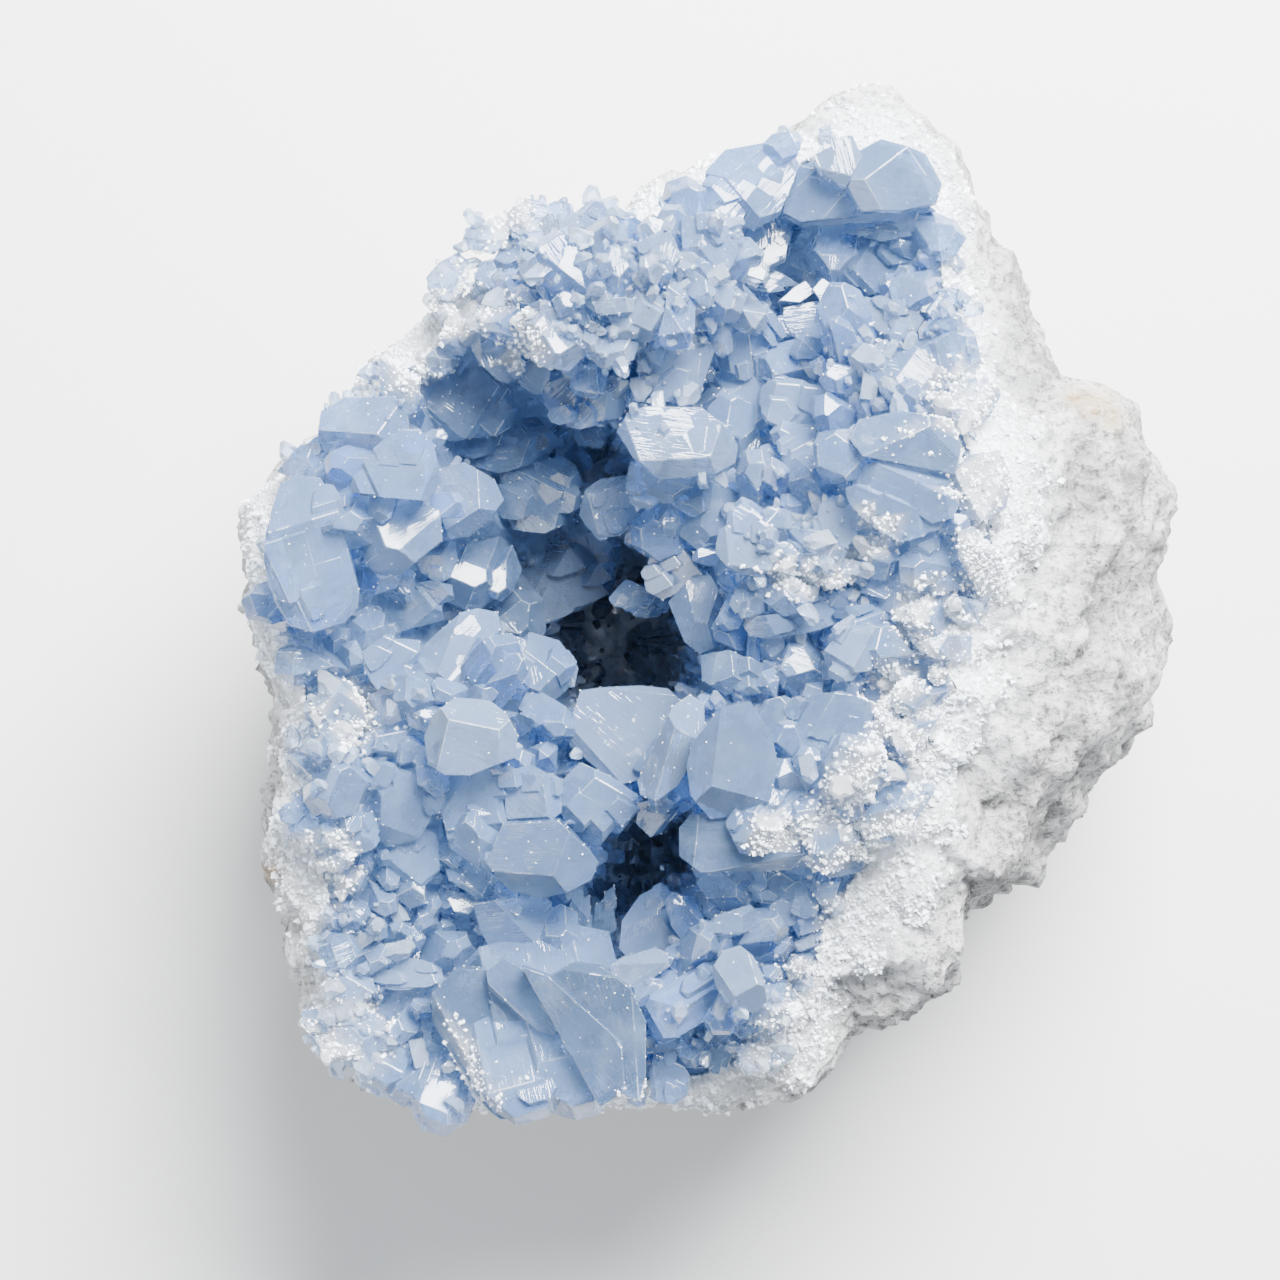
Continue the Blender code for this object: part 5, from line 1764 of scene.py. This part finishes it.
class CrystalSizes(bpy.types.PropertyGroup):
    # Width of the bevelled rims that take the frost and the painted edge glow
    worn_and_glowing: width_prop("Worn edge", "Width of an edge's frost, mm", 0.11)
    bed_columns: count_prop("Bed columns", "Points round", 120)
    bed_rows: count_prop("Bed rows", "Points in and out", 30)
    clear: factor_prop("Clearness", "Share of light let in", 0.76)
    density: FloatProperty(name="Density", description="Absorption per metre", default=45, min=0)
    absorb: colour_prop("Depth colour", "What is left of light", (0.62, 0.69, 0.77))
    pale: colour_prop("Pale", "Frosty crystal", (0.31, 0.49, 0.86))
    # Deep also carries the painted shade of the recess, whose crystals are given it
    deep: colour_prop("Deep", "Clear crystal", (0.15, 0.25, 0.44))
    # The slate is painted shade, laid over the crystals low in the hollow
    slate: colour_prop("Slate", "Crystal deep in the hollow", (0.27, 0.3, 0.35))
    veil: colour_prop("Veil", "Milky veils", (0.42, 0.6, 0.9))
    chip: colour_prop("Chips", "Chips and small crystals", (0.64, 0.78, 0.96))
    crust: colour_prop("Crust", "Under the white sugar", (0.97, 0.98, 1.0))
    # The frost colour is partly a painted edge glow on the bevelled rims
    frost: colour_prop("Frost", "Worn edges", (0.68, 0.82, 1.0))


class DruseSizes(bpy.types.PropertyGroup):
    seam_spacing: width_prop("Seam spacing", "Along a seam, mm", 1.4)
    bed_spacing: width_prop("Bed spacing", "Over the bed, mm", 1.5)
    smallest: width_prop("Smallest", "Width of the smallest, mm", 0.35)
    largest: width_prop("Largest", "Width of the largest, mm", 3.0)
    share: factor_prop("Share", "How many of them grow", 0.65)
    chip_spacing: width_prop("Chip spacing", "Between chips, mm", 1.5)
    largest_chip: width_prop("Largest chip", "Its width, mm", 3)


class SugarSizes(bpy.types.PropertyGroup):
    rim_spacing: width_prop("Rim spacing", "Between grains on the rim, mm", 0.5)
    crust_spacing: width_prop("Crust spacing", "Between grains on crystals, mm", 0.3)
    dust_spacing: width_prop("Dust spacing", "Between specks, mm", 1.1)
    white: colour_prop("White", "Bright grains", (0.92, 0.94, 0.96))
    bluish: colour_prop("Bluish", "Duller grains", (0.8, 0.87, 0.95))


class StageSizes(bpy.types.PropertyGroup):
    floor: colour_prop("Floor", "The pale floor", (0.8, 0.8, 0.79))
    main_power: power_prop("Main light", "Power of the large light behind", 40)
    fill_power: power_prop("Fill light", "Power of the weak light in front", 3)
    sky: FloatProperty(name="Sky", description="Light from all round", default=0.6, min=0)


class GEODE_OT_stage(bpy.types.Operator):
    """Sets the camera, the pale floor and the soft studio light"""

    bl_idname = "geode.stage"
    bl_label = "Set the stage"

    def execute(self, context):
        sizes = context.scene.geode_stage
        lens = bpy.data.cameras.new("camera")
        lens.sensor_width = SENSOR
        lens.lens = SENSOR * FOCAL_PX / PICTURE_PX
        lens.clip_start = NEAREST_SEEN
        camera = add_object("camera", lens)
        camera.location = (HOLLOW_AXIS.x * MM, HOLLOW_AXIS.y * MM, EYE_HEIGHT * MM)
        context.scene.camera = camera
        mesh = bmesh.new()
        bmesh.ops.create_grid(mesh, x_segments=1, y_segments=1, size=FLOOR_SIZE)
        data = named_mesh("floor", mesh, [floor_material(sizes.floor)])
        add_object("floor", data)
        world = context.scene.world or bpy.data.worlds.new("sky")
        context.scene.world = world
        world.use_nodes = True
        background = world.node_tree.nodes["Background"]
        feed(background, {"Color": SKY_COLOUR, "Strength": sizes.sky})
        for name, (place, size), energy in (
            ("main light", MAIN_LIGHT, sizes.main_power),
            ("fill light", FILL_LIGHT, sizes.fill_power),
        ):
            lamp = bpy.data.lights.new(name, "AREA")
            lamp.size = size
            lamp.energy = energy
            made = add_object(name, lamp)
            made.location = place
            aim = LIT_POINT - Vector(place)
            made.rotation_euler = aim.to_track_quat("-Z", "Y").to_euler()
        return {"FINISHED"}


class GEODE_OT_rock(bpy.types.Operator):
    """Builds the lump of broken limestone"""

    bl_idname = "geode.rock"
    bl_label = "Build the rock"

    def execute(self, context):
        build_rock(context.scene.geode_rock)
        return {"FINISHED"}


class GEODE_OT_crystals(bpy.types.Operator):
    """Grows the crystals and fuses them with their bed"""

    bl_idname = "geode.crystals"
    bl_label = "Grow the crystals"

    def execute(self, context):
        build_crystals(context.scene.geode_crystals)
        return {"FINISHED"}


class GEODE_OT_druse(bpy.types.Operator):
    """Grows the small crystals in the seams of the big ones"""

    bl_idname = "geode.druse"
    bl_label = "Grow the small crystals"

    def execute(self, context):
        cluster = bpy.data.objects["crystal_cluster"]
        celestite = bpy.data.materials["blue celestite"]
        build_small_crystals(context.scene.geode_druse, cluster, celestite)
        build_chips(context.scene.geode_druse, cluster, celestite)
        return {"FINISHED"}


class GEODE_OT_sugar(bpy.types.Operator):
    """Strews the white sugar over the rim and the bright dust over the crystals"""

    bl_idname = "geode.sugar"
    bl_label = "Strew the sugar"

    def execute(self, context):
        rock = bpy.data.objects["rock_shell"]
        cluster = bpy.data.objects["crystal_cluster"]
        build_sugar(context.scene.geode_sugar, rock, cluster)
        return {"FINISHED"}


class GEODE_PT_pieces(bpy.types.Panel):
    """Lists the geode's pieces in the 3D view's sidebar"""

    bl_label = "Geode"
    bl_space_type = "VIEW_3D"
    bl_region_type = "UI"
    bl_category = "Geode"

    def draw(self, context):
        for operator in OPERATORS:
            self.layout.operator(operator.bl_idname)


SIZES = {
    "geode_stage": StageSizes,
    "geode_rock": RockSizes,
    "geode_crystals": CrystalSizes,
    "geode_druse": DruseSizes,
    "geode_sugar": SugarSizes,
}
OPERATORS = (
    GEODE_OT_stage, GEODE_OT_rock, GEODE_OT_crystals, GEODE_OT_druse, GEODE_OT_sugar
)


def register():
    for kind in (*SIZES.values(), *OPERATORS, GEODE_PT_pieces):
        bpy.utils.register_class(kind)
    for name, kind in SIZES.items():
        setattr(bpy.types.Scene, name, PointerProperty(type=kind))


def unregister():
    for name in SIZES:
        delattr(bpy.types.Scene, name)
    for kind in (GEODE_PT_pieces, *reversed(OPERATORS), *SIZES.values()):
        bpy.utils.unregister_class(kind)


def main():
    register()
    bpy.ops.geode.stage()
    bpy.ops.geode.rock()
    bpy.ops.geode.crystals()
    bpy.ops.geode.druse()
    bpy.ops.geode.sugar()


if __name__ == "__main__":
    main()
